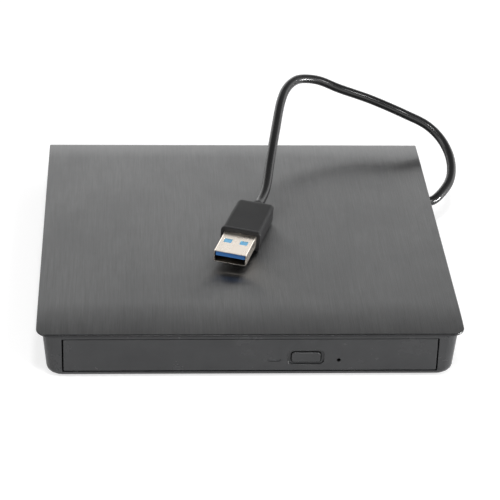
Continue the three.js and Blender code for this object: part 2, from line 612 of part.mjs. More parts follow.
// Drawer: a deck with stepped disc recesses, the opening over the mechanism and skirts below
function makeTray() {
  const deck = prism('z', roundRect(-trayHalf, trayHalf, trayFront, trayBack, tray.cornerRound),
    tray.deckLow, tray.deckHigh);
  const recess = rodSolid('z', 0, spindleY, recessRadius, tray.recessFloor, tray.deckHigh + overrun, 72);
  const small = rodSolid('z', 0, spindleY, tray.smallRadius, tray.smallFloor, tray.deckHigh, 48);
  const notches = notchDegrees.map((degrees) => {
    const angle = THREE.MathUtils.degToRad(degrees);
    const reach = recessRadius + tray.notchPast;
    return rodSolid('z', reach * Math.cos(angle), spindleY + reach * Math.sin(angle), tray.notchRadius,
      tray.smallFloor, tray.deckHigh + overrun, 24);
  });
  const openOut = recessRadius - mech.openShort;
  const opening = inMechanism(join(
    prism('z', roundRect(mech.openIn, openOut, -mech.openHalf, mech.openHalf, mech.openRound),
      tray.deckLow - overrun, tray.deckHigh, 6),
    prism('z', roundRect(openOut - mech.openRound * 2, mechEnd + mech.pocketPast, -mech.openHalf,
      mech.openHalf, mech.openRound / 2), tray.deckLow - overrun, mech.pocketTop),
    rodSolid('z', 0, 0, mech.hubOpening, tray.deckLow - overrun, tray.deckHigh, 36)));

  const skirtIn = skirtHalf - tray.skirtThick;
  const skirtTop = tray.deckLow + seat;
  const skirt = cut(
    box(-skirtHalf, skirtHalf, trayFront, trayBack, tray.skirtLow, skirtTop),
    box(-skirtIn, skirtIn, trayFront + tray.skirtThick, trayBack - tray.skirtThick,
      tray.skirtLow - overrun, skirtTop + overrun));
  const ribTip = railWeb - fit;
  const ribs = [[-ribTip, seat - skirtHalf], [skirtHalf - seat, ribTip]].map(([x0, x1]) => box(x0, x1,
    trayFront + rail.fromFront, trayBack - tray.rootShort, rail.slotLow + fit, rail.slotHigh - fit));

  const wallBack = trayFront + tray.skirtThick + overrun;
  const stemX = (button.left + button.right) / 2;
  const stemReach = button.stemWidth / 2 + fit;
  const holes = [
    box(linkLeft - link.clear, linkRight + link.clear, linkFront - link.clear, trayBack + overrun, 0,
      link.high + fit),
    box(postX - latch.postFoot - fit, postX + latch.postFoot + fit, linkFront,
      trayBack + overrun, 0, latch.low + latch.thick + fit * 2),
    box(stemX - stemReach, stemX + stemReach, trayFront - overrun, wallBack,
      frontBoard.low + frontBoard.thick + seat, tray.deckLow),
    box(light.left - fit, light.right + fit, trayFront - overrun, wallBack, light.low - fit,
      light.high + fit),
    rodSolid('y', pinhole.x, pinhole.z, pinhole.radius + fit, trayFront - overrun, wallBack, 12),
  ];
  const root = tray.deckLow + seat;
  const pins = damperSpots.map(([u, v]) => inMechanism(
    rodSolid('z', u, v, damper.pin, mech.plateLow + seat, root, 12)));
  const boardPins = [[boardLeft, boardFront, 1, 1], [mainBoard.right, boardFront, -1, 1],
    [boardLeft, boardBack, 1, -1]].map(([x, y, alongX, alongY]) => rodSolid('z', x + alongX * mainBoard.inset,
    y + alongY * mainBoard.inset, damper.pin, mainBoard.low + mainBoard.thick + seat, root, 12));
  const frontPinY = trayFront + tray.skirtThick + fit + frontBoard.depth - frontBoard.inset;
  const frontPins = [frontBoard.left + frontBoard.inset, frontBoard.right - frontBoard.inset].map(
    (x) => rodSolid('z', x, frontPinY, damper.pin, frontBoard.low + frontBoard.thick + seat, root, 12));
  const pivot = rodSolid('z', pivotX, pivotY, latch.pivotRadius, latch.low, root, 14);
  const coilRoof = box(coilLeft, coilRight, coilFront, coilFront + solenoid.length,
    solenoid.high + seat, root);
  const sleeve = rodSolid('y', pusherX, pusher.z, pusher.sleeve, pusherFront, trayBack - seat, 18);
  const sleeveWeb = box(pusherX - pusher.radius, pusherX + pusher.radius, pusherFront, trayBack - seat,
    pusher.z + pusher.radius, root);
  const bore = rodSolid('y', pusherX, pusher.z, pusher.radius + fit, pusherFront - overrun,
    trayBack + overrun, 14);
  const body = cut(join(deck, skirt, ...ribs), recess, small, ...notches, opening, ...holes);
  const fittings = [...pins, ...boardPins, ...frontPins, pivot, coilRoof, sleeve, sleeveWeb];
  piece('tray', cut(join(body, ...fittings), bore), finishes.satinBlack());
}

// Drawer front: a thin-walled panel with the button's recess, the light's slot and the eject hole
function makeDrawerFront() {
  const pocket = prism('y', roundRect(bezel.wall - bezelHalf, bezelHalf - bezel.wall, bezelLow + bezel.wall,
    bezelHigh - bezel.wall, bezel.round), faceY + bezel.wall, bezelBack + overrun);
  const panel = cut(
    prism('y', roundRect(-bezelHalf, bezelHalf, bezelLow, bezelHigh, bezel.round), faceY, bezelBack), pocket);
  const surround = prism('y', roundRect(button.panelLeft, button.panelRight, button.panelLow,
    button.panelHigh, button.panelRound), faceY - overrun, faceY + button.panelDepth, 6);
  const buttonHole = prism('y', roundRect(button.left - fit, button.right + fit, button.low - fit,
    button.high + fit, button.cornerRound + fit), faceY - overrun, bezelBack, 6);
  const slot = prism('y', roundRect(light.left - seat, light.right + seat, light.low - seat,
    light.high + seat, (light.high - light.low) / 2), faceY - overrun, bezelBack);
  const hole = rodSolid('y', pinhole.x, pinhole.z, pinhole.radius, faceY - overrun, bezelBack, 14);
  piece('tray_bezel', cut(panel, surround, buttonHole, slot, hole), finishes.satinBlack());

  const stemX = (button.left + button.right) / 2;
  const boardTop = frontBoard.low + frontBoard.thick;
  const stemLow = boardTop + fit;
  const stemBack = trayFront + button.stemPast;
  const cap = prism('y', roundRect(button.left, button.right, button.low, button.high, button.cornerRound),
    faceY, faceY + button.capDepth, 6, bezel.round / 2);
  const stem = box(stemX - button.stemWidth / 2, stemX + button.stemWidth / 2,
    faceY + button.capDepth - seat, stemBack, stemLow, stemLow + button.stemHeight);
  piece('eject_button', join(cap, stem), finishes.satinBlack());

  piece('light_pipe', prism('y', roundRect(light.left, light.right, light.low, light.high,
    (light.high - light.low) / 2 - seat), faceY + light.set, faceY + light.set + light.pipeDepth),
  finishes.clear());

  const frontY = trayFront + tray.skirtThick + fit;
  piece('front_board', box(frontBoard.left, frontBoard.right, frontY, frontY + frontBoard.depth,
    frontBoard.low, boardTop), finishes.board());
  const tactLow = boardTop + seat;
  const tactFront = stemBack + button.travel + fit + tact.stemOut;
  piece('eject_switch', join(
    box(stemX - tact.halfWidth, stemX + tact.halfWidth, tactFront, tactFront + tact.depth, tactLow,
      tactLow + tact.height),
    rodSolid('y', stemX, tact.stemZ, tact.stemRadius, tactFront - tact.stemOut, tactFront + seat, 12)),
  finishes.steel());
}

// Traverse: the frame plate with its rod blocks, hung from the deck on three dampers
function makeTraverse() {
  const plate = outline([[mech.innerEnd, mech.sideLow], [mechEnd, mech.sideLow], [mechEnd, mech.sideMid],
    [mechEnd - mech.screwShort, mech.sideHigh], [mech.neckEnd, mech.sideHigh],
    [mech.neckEnd, mech.sideMotor], [mech.innerEnd, mech.sideMotor]]);
  plate.holes.push(roundRect(mech.windowIn, windowEnd, -mech.windowHalf, mech.windowHalf, mech.windowRound));
  const block = (v, from, to, low) => prism('x', roundRect(v - rod.blockHalf, v + rod.blockHalf, low,
    rod.blockTop, rod.blockRound), from, to);
  const foothold = plateTop - seat;
  const blocks = [block(screw.v, screwEnd - rod.blockLength, screwEnd, foothold),
    block(screw.v, mech.neckEnd + seat, mech.neckEnd + seat + motor.flangeThick, mech.plateLow + seat)];
  for (const v of [-rod.v, rod.v]) {
    blocks.push(block(v, mech.windowIn - rod.blockLength, mech.windowIn, foothold));
    blocks.push(block(v, windowEnd, mechEnd, foothold));
  }
  const ears = damperSpots.map(([u, v]) => {
    const edge = v < 0 ? mech.sideLow + damper.tab : mech.sideHigh - damper.tab;
    return join(rodSolid('z', u, v, damper.ear, mech.plateLow, plateTop),
      box(u - damper.ear, u + damper.ear, Math.min(v, edge), Math.max(v, edge), mech.plateLow, plateTop));
  });
  const rodIn = mech.windowIn - rod.blockLength + rod.blind;
  const rodOut = mechEnd - rod.blind;
  const holes = [rodSolid('x', screw.v, screw.z, screw.bore, 0, mechEnd, 14)];
  for (const v of [-rod.v, rod.v]) {
    holes.push(rodSolid('x', v, rod.z, rod.radius + fit, rodIn, rodOut, 14));
  }
  for (const [u, v] of damperSpots) {
    holes.push(rodSolid('z', u, v, damper.hole, 0, plateTop + overrun, 14));
  }
  piece('traverse_frame', cut(join(prism('z', plate, mech.plateLow, plateTop), ...ears, ...blocks), ...holes),
    finishes.sheet(), mechanism);

  damperSpots.forEach(([u, v], i) => {
    piece(`damper_${i + 1}`, turned([[damper.bore, mech.plateLow], [damper.neck, mech.plateLow],
      [damper.neck, plateTop + seat], [damper.radius, plateTop + seat], [damper.radius, damper.top],
      [damper.bore, damper.top], [damper.bore, mech.plateLow]], u, v, 14), finishes.rubber(), mechanism);
  });
  for (const [name, v] of [['guide_rod_right', -rod.v], ['guide_rod_left', rod.v]]) {
    piece(name, rodSolid('x', v, rod.z, rod.radius, rodIn + seat, rodOut - seat, 14), finishes.steel(),
      mechanism);
  }
}

// Spindle motor: pole star on a base plate, turning can, turntable and three clamp jaws
function makeSpindle() {
  const low = plateTop + seat / 2;
  const pitch = (2 * Math.PI) / rotor.poles;
  const neckIn = (1 - rotor.poleNeckShare) / 2;
  const tipIn = (1 - rotor.poleTipShare) / 2;
  const shoulder = rotor.poleRadius - rotor.poleTip;
  const points = [];
  for (let i = 0; i < rotor.poles; i += 1) {
    for (const [radius, share] of [[rotor.poleRoot, neckIn], [shoulder, neckIn], [rotor.poleRadius, tipIn],
      [rotor.poleRadius, 1 - tipIn], [shoulder, 1 - neckIn], [rotor.poleRoot, 1 - neckIn]]) {
      const angle = pitch * (i + share);
      points.push([radius * Math.cos(angle), radius * Math.sin(angle)]);
    }
  }
  piece('spindle_stator', cut(join(
    rodSolid('z', 0, 0, rotor.baseRadius, low, low + rotor.baseThick, 30),
    rodSolid('z', 0, 0, rotor.tubeRadius, low, rotor.tubeTop, 18),
    rodSolid('z', 0, 0, rotor.coreRadius, rotor.coreLow - seat, rotor.poleHigh, 24),
    prism('z', outline(points), rotor.poleLow, rotor.poleHigh)),
  rodSolid('z', 0, 0, rotor.shaftBore, rotor.coreLow, rotor.poleHigh + overrun)),
  finishes.amber(), mechanism);

  const roofLow = rotor.canTop - rotor.canRoof;
  const canInner = rotor.canRadius - rotor.canWall;
  piece('spindle_rotor', turned([[0, rotor.shaftLow], [rotor.shaftRadius, rotor.shaftLow],
    [rotor.shaftRadius, roofLow], [canInner, roofLow], [canInner, rotor.canLow],
    [rotor.canRadius, rotor.canLow], [rotor.canRadius, rotor.canTop - rotor.canRound],
    [rotor.canRadius - rotor.canRound, rotor.canTop], [0, rotor.canTop]], 0, 0, 36),
  finishes.steel(), mechanism);

  const grooveOut = table.hubRadius + table.grooveWidth;
  const grooveLow = table.ringTop - table.grooveDepth;
  let hub = turned([[0, table.low], [table.radius - table.ringRound, table.low],
    [table.radius, table.low + table.ringRound], [table.radius, table.ringTop], [grooveOut, table.ringTop],
    [grooveOut, grooveLow], [table.hubRadius, grooveLow], [table.hubRadius, table.hubTop - table.hubChamfer],
    [table.hubRadius - table.hubChamfer, table.hubTop], [table.dishRadius, table.hubTop],
    [table.dishRadius, table.hubTop - table.dishDepth], [0, table.hubTop - table.dishDepth]], 0, 0, 36);
  const turn = (manifold, index) => solid(geometryOf(manifold),
    new THREE.Matrix4().makeRotationZ((2 * Math.PI * index) / table.jaws));
  const slot = box(table.slotIn, table.hubRadius + overrun, -table.slotWidth / 2, table.slotWidth / 2,
    table.slotLow, table.hubTop + overrun);
  const claw = prism('y', outline([[jaw.inner, jaw.low], [jaw.outer - jaw.lead, jaw.low],
    [jaw.outer, (jaw.low + jaw.high) / 2], [jaw.outer - jaw.nose, jaw.high], [jaw.inner, jaw.high]]),
  -jaw.width / 2, jaw.width / 2);
  for (let i = 0; i < table.jaws; i += 1) {
    hub = cut(hub, turn(slot, i));
    piece(`clamp_jaw_${i + 1}`, turn(claw, i), finishes.white(), mechanism);
  }
  piece('turntable', hub, finishes.chip(), mechanism);
}

// Sled with its bearing arms and actuator pocket, the lens holder, the lens and the half nut
function makeSled() {
  const inU = sled.lensU - sled.innerReach;
  const outU = sled.lensU + sled.outerReach;
  const bellyOut = sled.lensU + sled.bellyReach;
  const body = prism('y', outline([[inU, sled.low], [bellyOut, sled.low], [bellyOut, sled.step],
    [outU, sled.step], [outU, sled.top - fit], [outU - fit, sled.top], [inU, sled.top]]),
  -sled.halfWidth, sled.halfWidth);
  const arm = (side, from, to) => {
    const reach = side * (rod.v + sled.armWall);
    const root = side * (sled.halfWidth - sled.armRoot);
    return prism('x', roundRect(Math.min(reach, root), Math.max(reach, root), sled.low + seat, sled.armTop,
      sled.armRound), from, to);
  };
  const bores = [-rod.v, rod.v].map((v) => rodSolid('x', v, rod.z, sled.bore, inU, outU, 14));
  const pocket = prism('z', roundRect(sled.lensU - sled.pocketIn, sled.lensU + sled.pocketOut,
    -sled.pocketHalfV, sled.pocketHalfV, fit), sled.pocketFloor, sled.top + overrun, 2);
  const crescent = rodSolid('z', 0, 0, sled.crescent, 0, sled.top + overrun, 36);
  piece('pickup_sled', cut(join(body, arm(-1, sled.armIn, sled.armOut), arm(1, sled.hookIn, sled.hookOut)),
    ...bores, pocket, crescent), finishes.sheet(), mechanism);

  const holderLow = sled.pocketFloor + lens.holderLift;
  const holderTop = holderLow + lens.holderThick;
  const wireLow = (holderLow + holderTop - lens.wireHeight) / 2;
  const wires = [-lens.wireV, lens.wireV].map((v) => box(sled.lensU + lens.holderHalf - seat,
    sled.lensU + sled.pocketOut - seat, v - lens.wireThick / 2, v + lens.wireThick / 2, wireLow,
    wireLow + lens.wireHeight));
  piece('lens_holder', join(
    prism('z', roundRect(sled.lensU - lens.holderHalf, sled.lensU + lens.holderHalf, -lens.holderHalf,
      lens.holderHalf, fit), holderLow, holderTop, 2),
    rodSolid('z', sled.lensU, 0, lens.radius + fit, holderTop - seat, holderTop + fit, 18), ...wires),
  finishes.chip(), mechanism);
  const seatZ = holderTop + fit + seat / 2;
  const dome = [[0, seatZ], [lens.radius, seatZ], [lens.radius, seatZ + seat]];
  for (let i = 1; i < lens.domeRings; i += 1) {
    const angle = (Math.PI / 2) * (i / lens.domeRings);
    dome.push([lens.radius * Math.cos(angle), seatZ + seat + lens.dome * Math.sin(angle)]);
  }
  dome.push([0, seatZ + seat + lens.dome]);
  piece('objective_lens', turned(dome, sled.lensU, 0, 18), finishes.clear(), mechanism);

  const nutBody = prism('x', roundRect(rod.v + sled.armWall + seat, screw.v + screw.bore + nut.wall, nut.low,
    nut.high, fit), nut.atU, nut.atU + nut.length, 2);
  piece('feed_nut', cut(nutBody, rodSolid('x', screw.v, screw.z, screw.bore, nut.atU - overrun,
    nut.atU + nut.length + overrun, 14)), finishes.white(), mechanism);
}

// Feed motor with flats above and below, and its lead screw between two journals
function makeFeed() {
  const end = mech.neckEnd - seat / 2;
  const can = rodSolid('x', screw.v, screw.z, motor.radius, end - motor.length, end, 24).intersect(
    box(end - motor.length - overrun, end + overrun, 0, mech.sideHigh + overrun, motor.low, motor.high));
  const bore = rodSolid('x', screw.v, screw.z, screw.bore, end - motor.blind, end + overrun, 14);
  piece('feed_motor', cut(can, bore), finishes.steel(), mechanism);
  piece('lead_screw', join(
    rodSolid('x', screw.v, screw.z, screw.radius, mech.neckEnd + motor.flangeThick + fit,
      screwEnd - rod.blockLength - fit, 14),
    rodSolid('x', screw.v, screw.z, screw.journal, end - screw.tail, screwEnd - fit, 14)),
  finishes.steel(), mechanism);
}

function makeBoards() {
  const boardTop = mainBoard.low + mainBoard.thick;
  const ribbonLeft = linkLeft + ribbon.inset;
  const ribbonBack = driveBack - ribbon.fromBack;
  piece('main_board', join(
    box(boardLeft, mainBoard.right, boardFront, boardBack, mainBoard.low, boardTop),
    box(ribbonLeft, ribbonLeft + ribbon.width, ribbonBack - ribbon.tab, ribbonBack,
      ribbon.high + ribbon.thick + seat, mainBoard.low + seat)), finishes.board());
  const chipX = (boardLeft + mainBoard.right) / 2;
  const chipY = (boardFront + boardBack) / 2;
  piece('main_chip', box(chipX - mainChip.half, chipX + mainChip.half, chipY - mainChip.half,
    chipY + mainChip.half, boardTop + seat, boardTop + seat + mainChip.thick), finishes.chip());
  const bridgeTop = bridge.low + bridge.thick;
  piece('bridge_board', box(-bridgeHalf, bridgeHalf, bridgeFront, bridgeBack, bridge.low, bridgeTop),
    finishes.board());
  piece('bridge_chip', box(bridgeChip.x - bridgeChip.half, bridgeChip.x + bridgeChip.half,
    bridgeMiddle - bridgeChip.half, bridgeMiddle + bridgeChip.half, bridgeTop + seat,
    bridgeTop + seat + bridgeChip.thick), finishes.chip());
  piece('crystal_can', prism('z', roundRect(crystal.x - crystal.length / 2, crystal.x + crystal.length / 2,
    bridgeMiddle - crystal.width / 2, bridgeMiddle + crystal.width / 2, crystal.width / 2 - seat),
  bridgeTop + seat, bridgeTop + seat + crystal.height, 6), finishes.steel());
  const socketFront = driveBack + link.gap;
  piece('bridge_socket', prism('y', roundRect(linkLeft, linkRight, link.low, link.high, link.round),
    socketFront, socketFront + link.socketDepth), finishes.chip());
}

// Latch: a lever on the drawer hooks behind the pan's post until the solenoid swings it aside
function makeLatch() {
  const low = latch.low;
  const high = latch.low + latch.thick;
  const half = latch.armWidth / 2;
  const fingerFront = postY + latch.postRadius + fit;
  const fingerBack = fingerFront + latch.fingerThick;
  const lever = join(
    rodSolid('z', pivotX, pivotY, latch.bossRadius, low, high, 20),
    box(pivotX - half, pivotX + half, pivotY, fingerBack, low, high),
    box(pivotX - half - latch.fingerReach, pivotX + half, fingerFront, fingerBack, low, high),
    box(forkX + plunger.neck + fit, pivotX, pivotY - half, pivotY + half, low, high));
  piece('latch_lever', cut(lever, rodSolid('z', pivotX, pivotY, latch.pivotRadius + fit,
    low - overrun, high + overrun)), finishes.white());

  const coil = prism('z', roundRect(coilLeft, coilRight, coilFront, coilFront + solenoid.length,
    solenoid.round), solenoid.low, solenoid.high);
  piece('latch_solenoid', cut(coil, rodSolid('y', forkX, plunger.z, plunger.radius + fit,
    coilFront - overrun, coilFront + solenoid.bore, 14)), finishes.amber());
  const neckFront = pivotY - half - fit;
  const neckBack = pivotY + half + fit;
  piece('solenoid_plunger', join(
    rodSolid('y', forkX, plunger.z, plunger.radius, neckBack, coilFront + plunger.inside, 12),
    rodSolid('y', forkX, plunger.z, plunger.neck, neckFront - seat, neckBack + seat, 8),
    rodSolid('y', forkX, plunger.z, plunger.collar, neckBack, neckBack + plunger.collarLength, 14),
    rodSolid('y', forkX, plunger.z, plunger.collar, neckFront - plunger.collarLength, neckFront, 14)),
  finishes.steel());

  piece('eject_pusher', rodSolid('y', pusherX, pusher.z, pusher.radius, pusherFront + pusher.short,
    trayBack + pusher.out, 14), finishes.white());
}

// Ribbon cable: flat along the pan, one fold, and back to the drawer's board
function makeRibbon() {
  const foldRadius = (ribbon.high + ribbon.thick - ribbon.low) / 2;
  const middle = ribbon.low + foldRadius;
  const front = driveBack - ribbon.foldFromBack;
  const back = linkFront - fit;
  const upperBack = driveBack - ribbon.fromBack;
  const section = new THREE.Shape();
  section.moveTo(back, ribbon.low);
  section.lineTo(back, ribbon.low + ribbon.thick);
  section.lineTo(front, ribbon.low + ribbon.thick);
  section.absarc(front, middle, foldRadius - ribbon.thick, 1.5 * Math.PI, Math.PI / 2, true);
  section.lineTo(upperBack, ribbon.high);
  section.lineTo(upperBack, ribbon.high + ribbon.thick);
  section.lineTo(front, ribbon.high + ribbon.thick);
  section.absarc(front, middle, foldRadius, Math.PI / 2, 1.5 * Math.PI, false);
  const left = linkLeft + ribbon.inset;
  piece('ribbon_cable', prism('x', section, left, left + ribbon.width), finishes.white());
}

function tube(points, radius, steps, sides) {
  const curve = new THREE.CatmullRomCurve3(points.map(([x, y, z]) => new THREE.Vector3(x, y, z)), false,
    'centripetal');
  const section = new THREE.Shape();
  for (let i = 0; i < sides; i += 1) {
    const angle = (2 * Math.PI * i) / sides;
    const corner = [radius * Math.cos(angle), radius * Math.sin(angle)];
    if (i === 0) {
      section.moveTo(...corner);
    } else {
      section.lineTo(...corner);
    }
  }
  return new THREE.ExtrudeGeometry(section, { extrudePath: curve, steps, curveSegments: 1 });
}

function makeLead() {
  const wallOut = wallAt(cable.exitZ + gland.flangeRadius) + seat;
  const glandIn = wallOut - gland.depth;
  const glandOut = wallOut + gland.out;
  const plugReach = plug.shellShow + plug.moldLength + plug.collarLength;
  const collar = [plug.tipX - plugReach * Math.sin(plugTurn), plug.tipY + plugReach * Math.cos(plugTurn),
    plugAxis];
  const mouth = [glandOut + fit, exitY, cable.exitZ];
  const placed = (from, offsets) => offsets.map((offset) => offset.map((value, i) => from[i] + value));
  piece('usb_cable', tube([...placed(collar, leadFromPlug), ...placed(mouth, leadToGland)], cable.radius,
    cable.steps, cable.sides), finishes.leadBlack());

  const glandBody = join(
    rodSolid('x', exitY, cable.exitZ, gland.bodyRadius, glandIn, glandOut),
    rodSolid('x', exitY, cable.exitZ, gland.flangeRadius, wallOut, glandOut, 18));
  piece('cable_gland', cut(glandBody, rodSolid('x', exitY, cable.exitZ, cable.innerRadius + fit,
    glandIn - overrun, glandOut + overrun, 12)), finishes.rubber());

  const laneX = driveHalf + fit + drive.coverFold + cable.innerRadius + seat;
  const bend = (glandIn - laneX) / 2;
  const turnX = laneX - cable.innerTurn;
  const turnY = driveBack + seat;
  const slant = cable.innerTurn * Math.SQRT1_2;
  const restZ = bridge.low + bridge.thick + cable.innerRadius + seat;
  const z = cable.exitZ;
  const innerRoute = [[glandOut, exitY, z], [glandIn, exitY, z], [laneX + bend / 2, exitY + bend, z],
    [laneX, exitY + bend * 3, z], [laneX, (exitY + turnY) / 2, z], [laneX, turnY, z],
    [turnX + slant, turnY + slant, z], [turnX, turnY + cable.innerTurn, z],
    [bridgeHalf, turnY + cable.innerTurn, restZ],
    [bridgeHalf - cable.innerShort, turnY + cable.innerTurn, restZ]];
  piece('inner_lead', tube(innerRoute, cable.innerRadius, cable.innerSteps, cable.sides),
    finishes.leadBlack());
}

// Plug, in its own frame: the tip at the origin, +Y towards the lead, Z across the shell
function makePlug() {
  const shellEnd = plug.shellShow + plug.shellHidden;
  const halfWidth = plug.shellWidth / 2;
  const halfHeight = plug.shellHeight / 2;
  const innerHalf = halfWidth - plug.shellWall;
  const innerHigh = halfHeight - plug.shellWall;
  const innerEnd = shellEnd - plug.shellWall * 2;
  const outside = halfHeight + overrun;
  const windows = [];
  for (const x of [-plug.windowPitch / 2, plug.windowPitch / 2]) {
    for (const [z0, z1] of [[-outside, seat - innerHigh], [innerHigh - seat, outside]]) {
      windows.push(box(x - plug.windowWidth / 2, x + plug.windowWidth / 2, plug.windowBack,
        plug.windowBack + plug.windowLength, z0, z1));
    }
  }
  piece('plug_shell', cut(
    prism('y', roundRect(-halfWidth, halfWidth, -halfHeight, halfHeight, plug.shellRound), 0, shellEnd),
    prism('y', roundRect(-innerHalf, innerHalf, -innerHigh, innerHigh, plug.shellRound / 2), -overrun,
      innerEnd),
    ...windows), finishes.gold(), plugGroup);

  const tongueTop = innerHigh - seat;
  piece('plug_tongue', join(
    prism('y', roundRect(-plug.tongueWidth / 2, plug.tongueWidth / 2, tongueTop - plug.tongueThick, tongueTop,
      fit), plug.tongueSet, innerEnd - fit, 2),
    box(fit - innerHalf, innerHalf - fit, plug.shellShow - plug.tongueFoot, innerEnd - fit, fit - innerHigh,
      tongueTop)), finishes.blue(), plugGroup);

  const front = plug.shellShow;
  const back = front + plug.moldLength;
  const rings = moldShares.map(([lengthShare, widthShare, heightShare]) => {
    const a = (plug.moldWidth / 2) * widthShare;
    const b = (plug.moldHeight / 2) * heightShare;
    return ring(-a, a, -b, b, Math.min(plug.moldRound, b - seat), 0, 4)
      .map(([x, z]) => [x, front + plug.moldLength * lengthShare, z]).reverse();
  });
  const pocket = prism('y', roundRect(-halfWidth - fit, halfWidth + fit, -halfHeight - fit, halfHeight + fit,
    plug.shellRound + fit), front - overrun, front + plug.shellHidden + fit);
  piece('plug_overmold', join(cut(loft(rings), pocket),
    rodSolid('y', 0, 0, plug.collarRadius, back - seat, back + plug.collarLength, 18),
    rodSolid('y', 0, 0, plug.collarRing, back - seat, back + plug.ringLength, 18)),
  finishes.rubber(), plugGroup);
}

makeTopCover();
makeBaseShell();
makeFeetAndScrews();
makeDriveUnit();
makeRails();
makeTray();
makeDrawerFront();
makeTraverse();
makeSpindle();
makeSled();
makeFeed();
makeBoards();
makeLatch();
makeRibbon();
makeLead();
makePlug();

export default object;
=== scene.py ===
"""A slim external disc drive: brushed cover, tapered case, sliding drawer with its mechanism, and a captive lead."""

import json
import math

import bmesh
import bpy
from mathutils import Matrix, Vector


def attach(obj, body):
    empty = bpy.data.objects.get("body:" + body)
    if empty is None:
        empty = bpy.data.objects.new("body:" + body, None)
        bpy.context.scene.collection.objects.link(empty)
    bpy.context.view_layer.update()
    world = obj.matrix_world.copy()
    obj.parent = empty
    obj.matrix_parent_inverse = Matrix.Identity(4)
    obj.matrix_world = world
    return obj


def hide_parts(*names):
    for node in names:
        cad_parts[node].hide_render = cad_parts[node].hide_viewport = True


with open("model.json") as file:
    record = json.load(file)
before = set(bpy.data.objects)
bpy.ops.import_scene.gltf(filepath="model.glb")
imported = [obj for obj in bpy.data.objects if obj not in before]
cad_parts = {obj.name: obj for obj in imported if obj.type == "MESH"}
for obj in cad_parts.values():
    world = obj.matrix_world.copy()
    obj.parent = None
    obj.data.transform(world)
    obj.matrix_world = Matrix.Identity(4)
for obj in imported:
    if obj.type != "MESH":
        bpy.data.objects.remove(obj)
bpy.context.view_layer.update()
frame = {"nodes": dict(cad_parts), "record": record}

MM = 0.001

# Camera: its turns in degrees, its place in metres and its lens in millimetres
CAMERA_YAW, CAMERA_PITCH, CAMERA_ROLL = 3.755, 29.25, 1.818
CAMERA_PLACE = (-0.04087, -0.67203, 0.3869)
SENSOR_WIDTH = 36
FOCAL_LENGTH = 148.75

# Room: its levels of light by the sine of the elevation, from the horizon to straight up, and the lamps in metres
# and watts, each with its place, the point it faces, its size and its power. The side strip lies too low to shine on
# the cover's top.
ROOM_LEVELS = ((0, 1), (0.34, 1), (0.40, 0.95), (0.445, 0.68), (0.475, 0.50), (0.53, 0.37), (0.60, 0.20),
               (0.64, 0.15), (0.75, 0.12), (1, 0.12))
ROOM_POWER = 1.8
FLOOR_GLOW = 0.62
LAMPS = {
    "key lamp": ((0.72, -0.85, 0.95), (0, 0, 0), (0.3, 0.3), 6.6),
    "fill lamp": ((-1.0, -0.15, 1.0), (0, 0, 0), (0.6, 0.6), 3),
    "top lamp": ((0.02, -0.42, 0.92), (0.02, 0.04, 0.04), (0.13, 0.13), 2.4),
    "side strip": ((0.55, -0.15, 0.0095), (0, -0.1, 0.0095), (0.3, 0.016), 6),
}

# Case, in millimetres
LID_HALF = 73.5
LID_FRONT = -73.5
LID_BACK = 73.5
LID_LOW = 17.02
LID_TOP = 18.45
CORNER = 4.8
SPINE_LOW = 3.3
SPINE_ROUND = 3.2
SPINE_WALL = 1.2
CROWN_RUN = 11
CROWN_DROP = 0.25
FRONT_RUN = 21
FRONT_DROP = 0.75
EDGE_ROUND = 0.3
SIDE_ROUND = 0.32
UV_WIDE, UV_DEEP = 150, 330
SKIRT_DEEP = 1.2
SKIRT_WALL = 1
RIBS = 4
RIB_PITCH = 29.4
BOSS_RADIUS, BOSS_LOW = 3, 9
BORE_RADIUS, BORE_TOP = 1.4, 14.1
BASE_HALF = 71.4
BASE_WALL = 1.6
FRONT_WALL = 2
BACK_WALL = 1.5
FIT = 0.3
FACE_Y = -72.5
BASE_BACK = 71.7
FOOT_X = 60
FOOT_FRONT_Y = -60
FOOT_BACK_Y = 64

# Drawer front, in millimetres
BEZEL_HALF = 64.3
BEZEL_LOW = 2.8
BEZEL_HIGH = 15.35
BEZEL_BACK = -68.5
BEZEL_WALL = 1.2
BUTTON = (13.95, 24.05, 6.04, 9.92)
SURROUND = (12.7, 25.15, 5.3, 10.8)
LIGHT = (5.9, 10.1, 6.55, 7.35)
PINHOLE = (30.3, 6.95)
PINHOLE_RADIUS = 0.7

# Mechanism, in millimetres: U runs along the sled's travel and V across it, from the spindle. A ring is given by its
# radii and heights, and what the sled carries by where it starts and ends in U and V.
SPINDLE_Y = -7.6
TRAVEL_ANGLE = math.radians(48)
SCREW_PLACE = (7.7, 17.9, 6.6)
SCREW_BACK, SCREW_FRONT = -2.2, 50.2
JOURNAL_RADIUS = 0.9
THREAD_RADIUS = 0.84
THREAD_LENGTH = 47.7
THREAD_LEAD = 3
POLES = 9
POLE_TURN = math.radians(20)
POLE_MIDDLE = 4.9
POLE_Z = 7.7
PAD_RING = (8.9, 12.15, 11.1, 11.3)
HUB_RING = (1.5, 2.6, 12.9, 13.12)
SLED_COVER = (14.2, 30.5, -9.2, 9.2)
SLED_WINDOW = (19.0, 29.5, -5.3, 5.3)
SLED_NOTCH = (29.8, 31, -2.6, 2.6)
SLED_TOP = 9.38
TURNTABLE_CLEAR = 14.1
MAGNET_FRONT, MAGNET_BACK, MAGNET_V = 21.2, 26.8, 4.35
FOCUS_LOOP = (20.5, 27.5, -3.5, 3.5)
MAIN_BOARD_TOP = 6.2
MAIN_BOARD_X = -41
BRIDGE_TOP = 9.4
BRIDGE_Y = 63.4

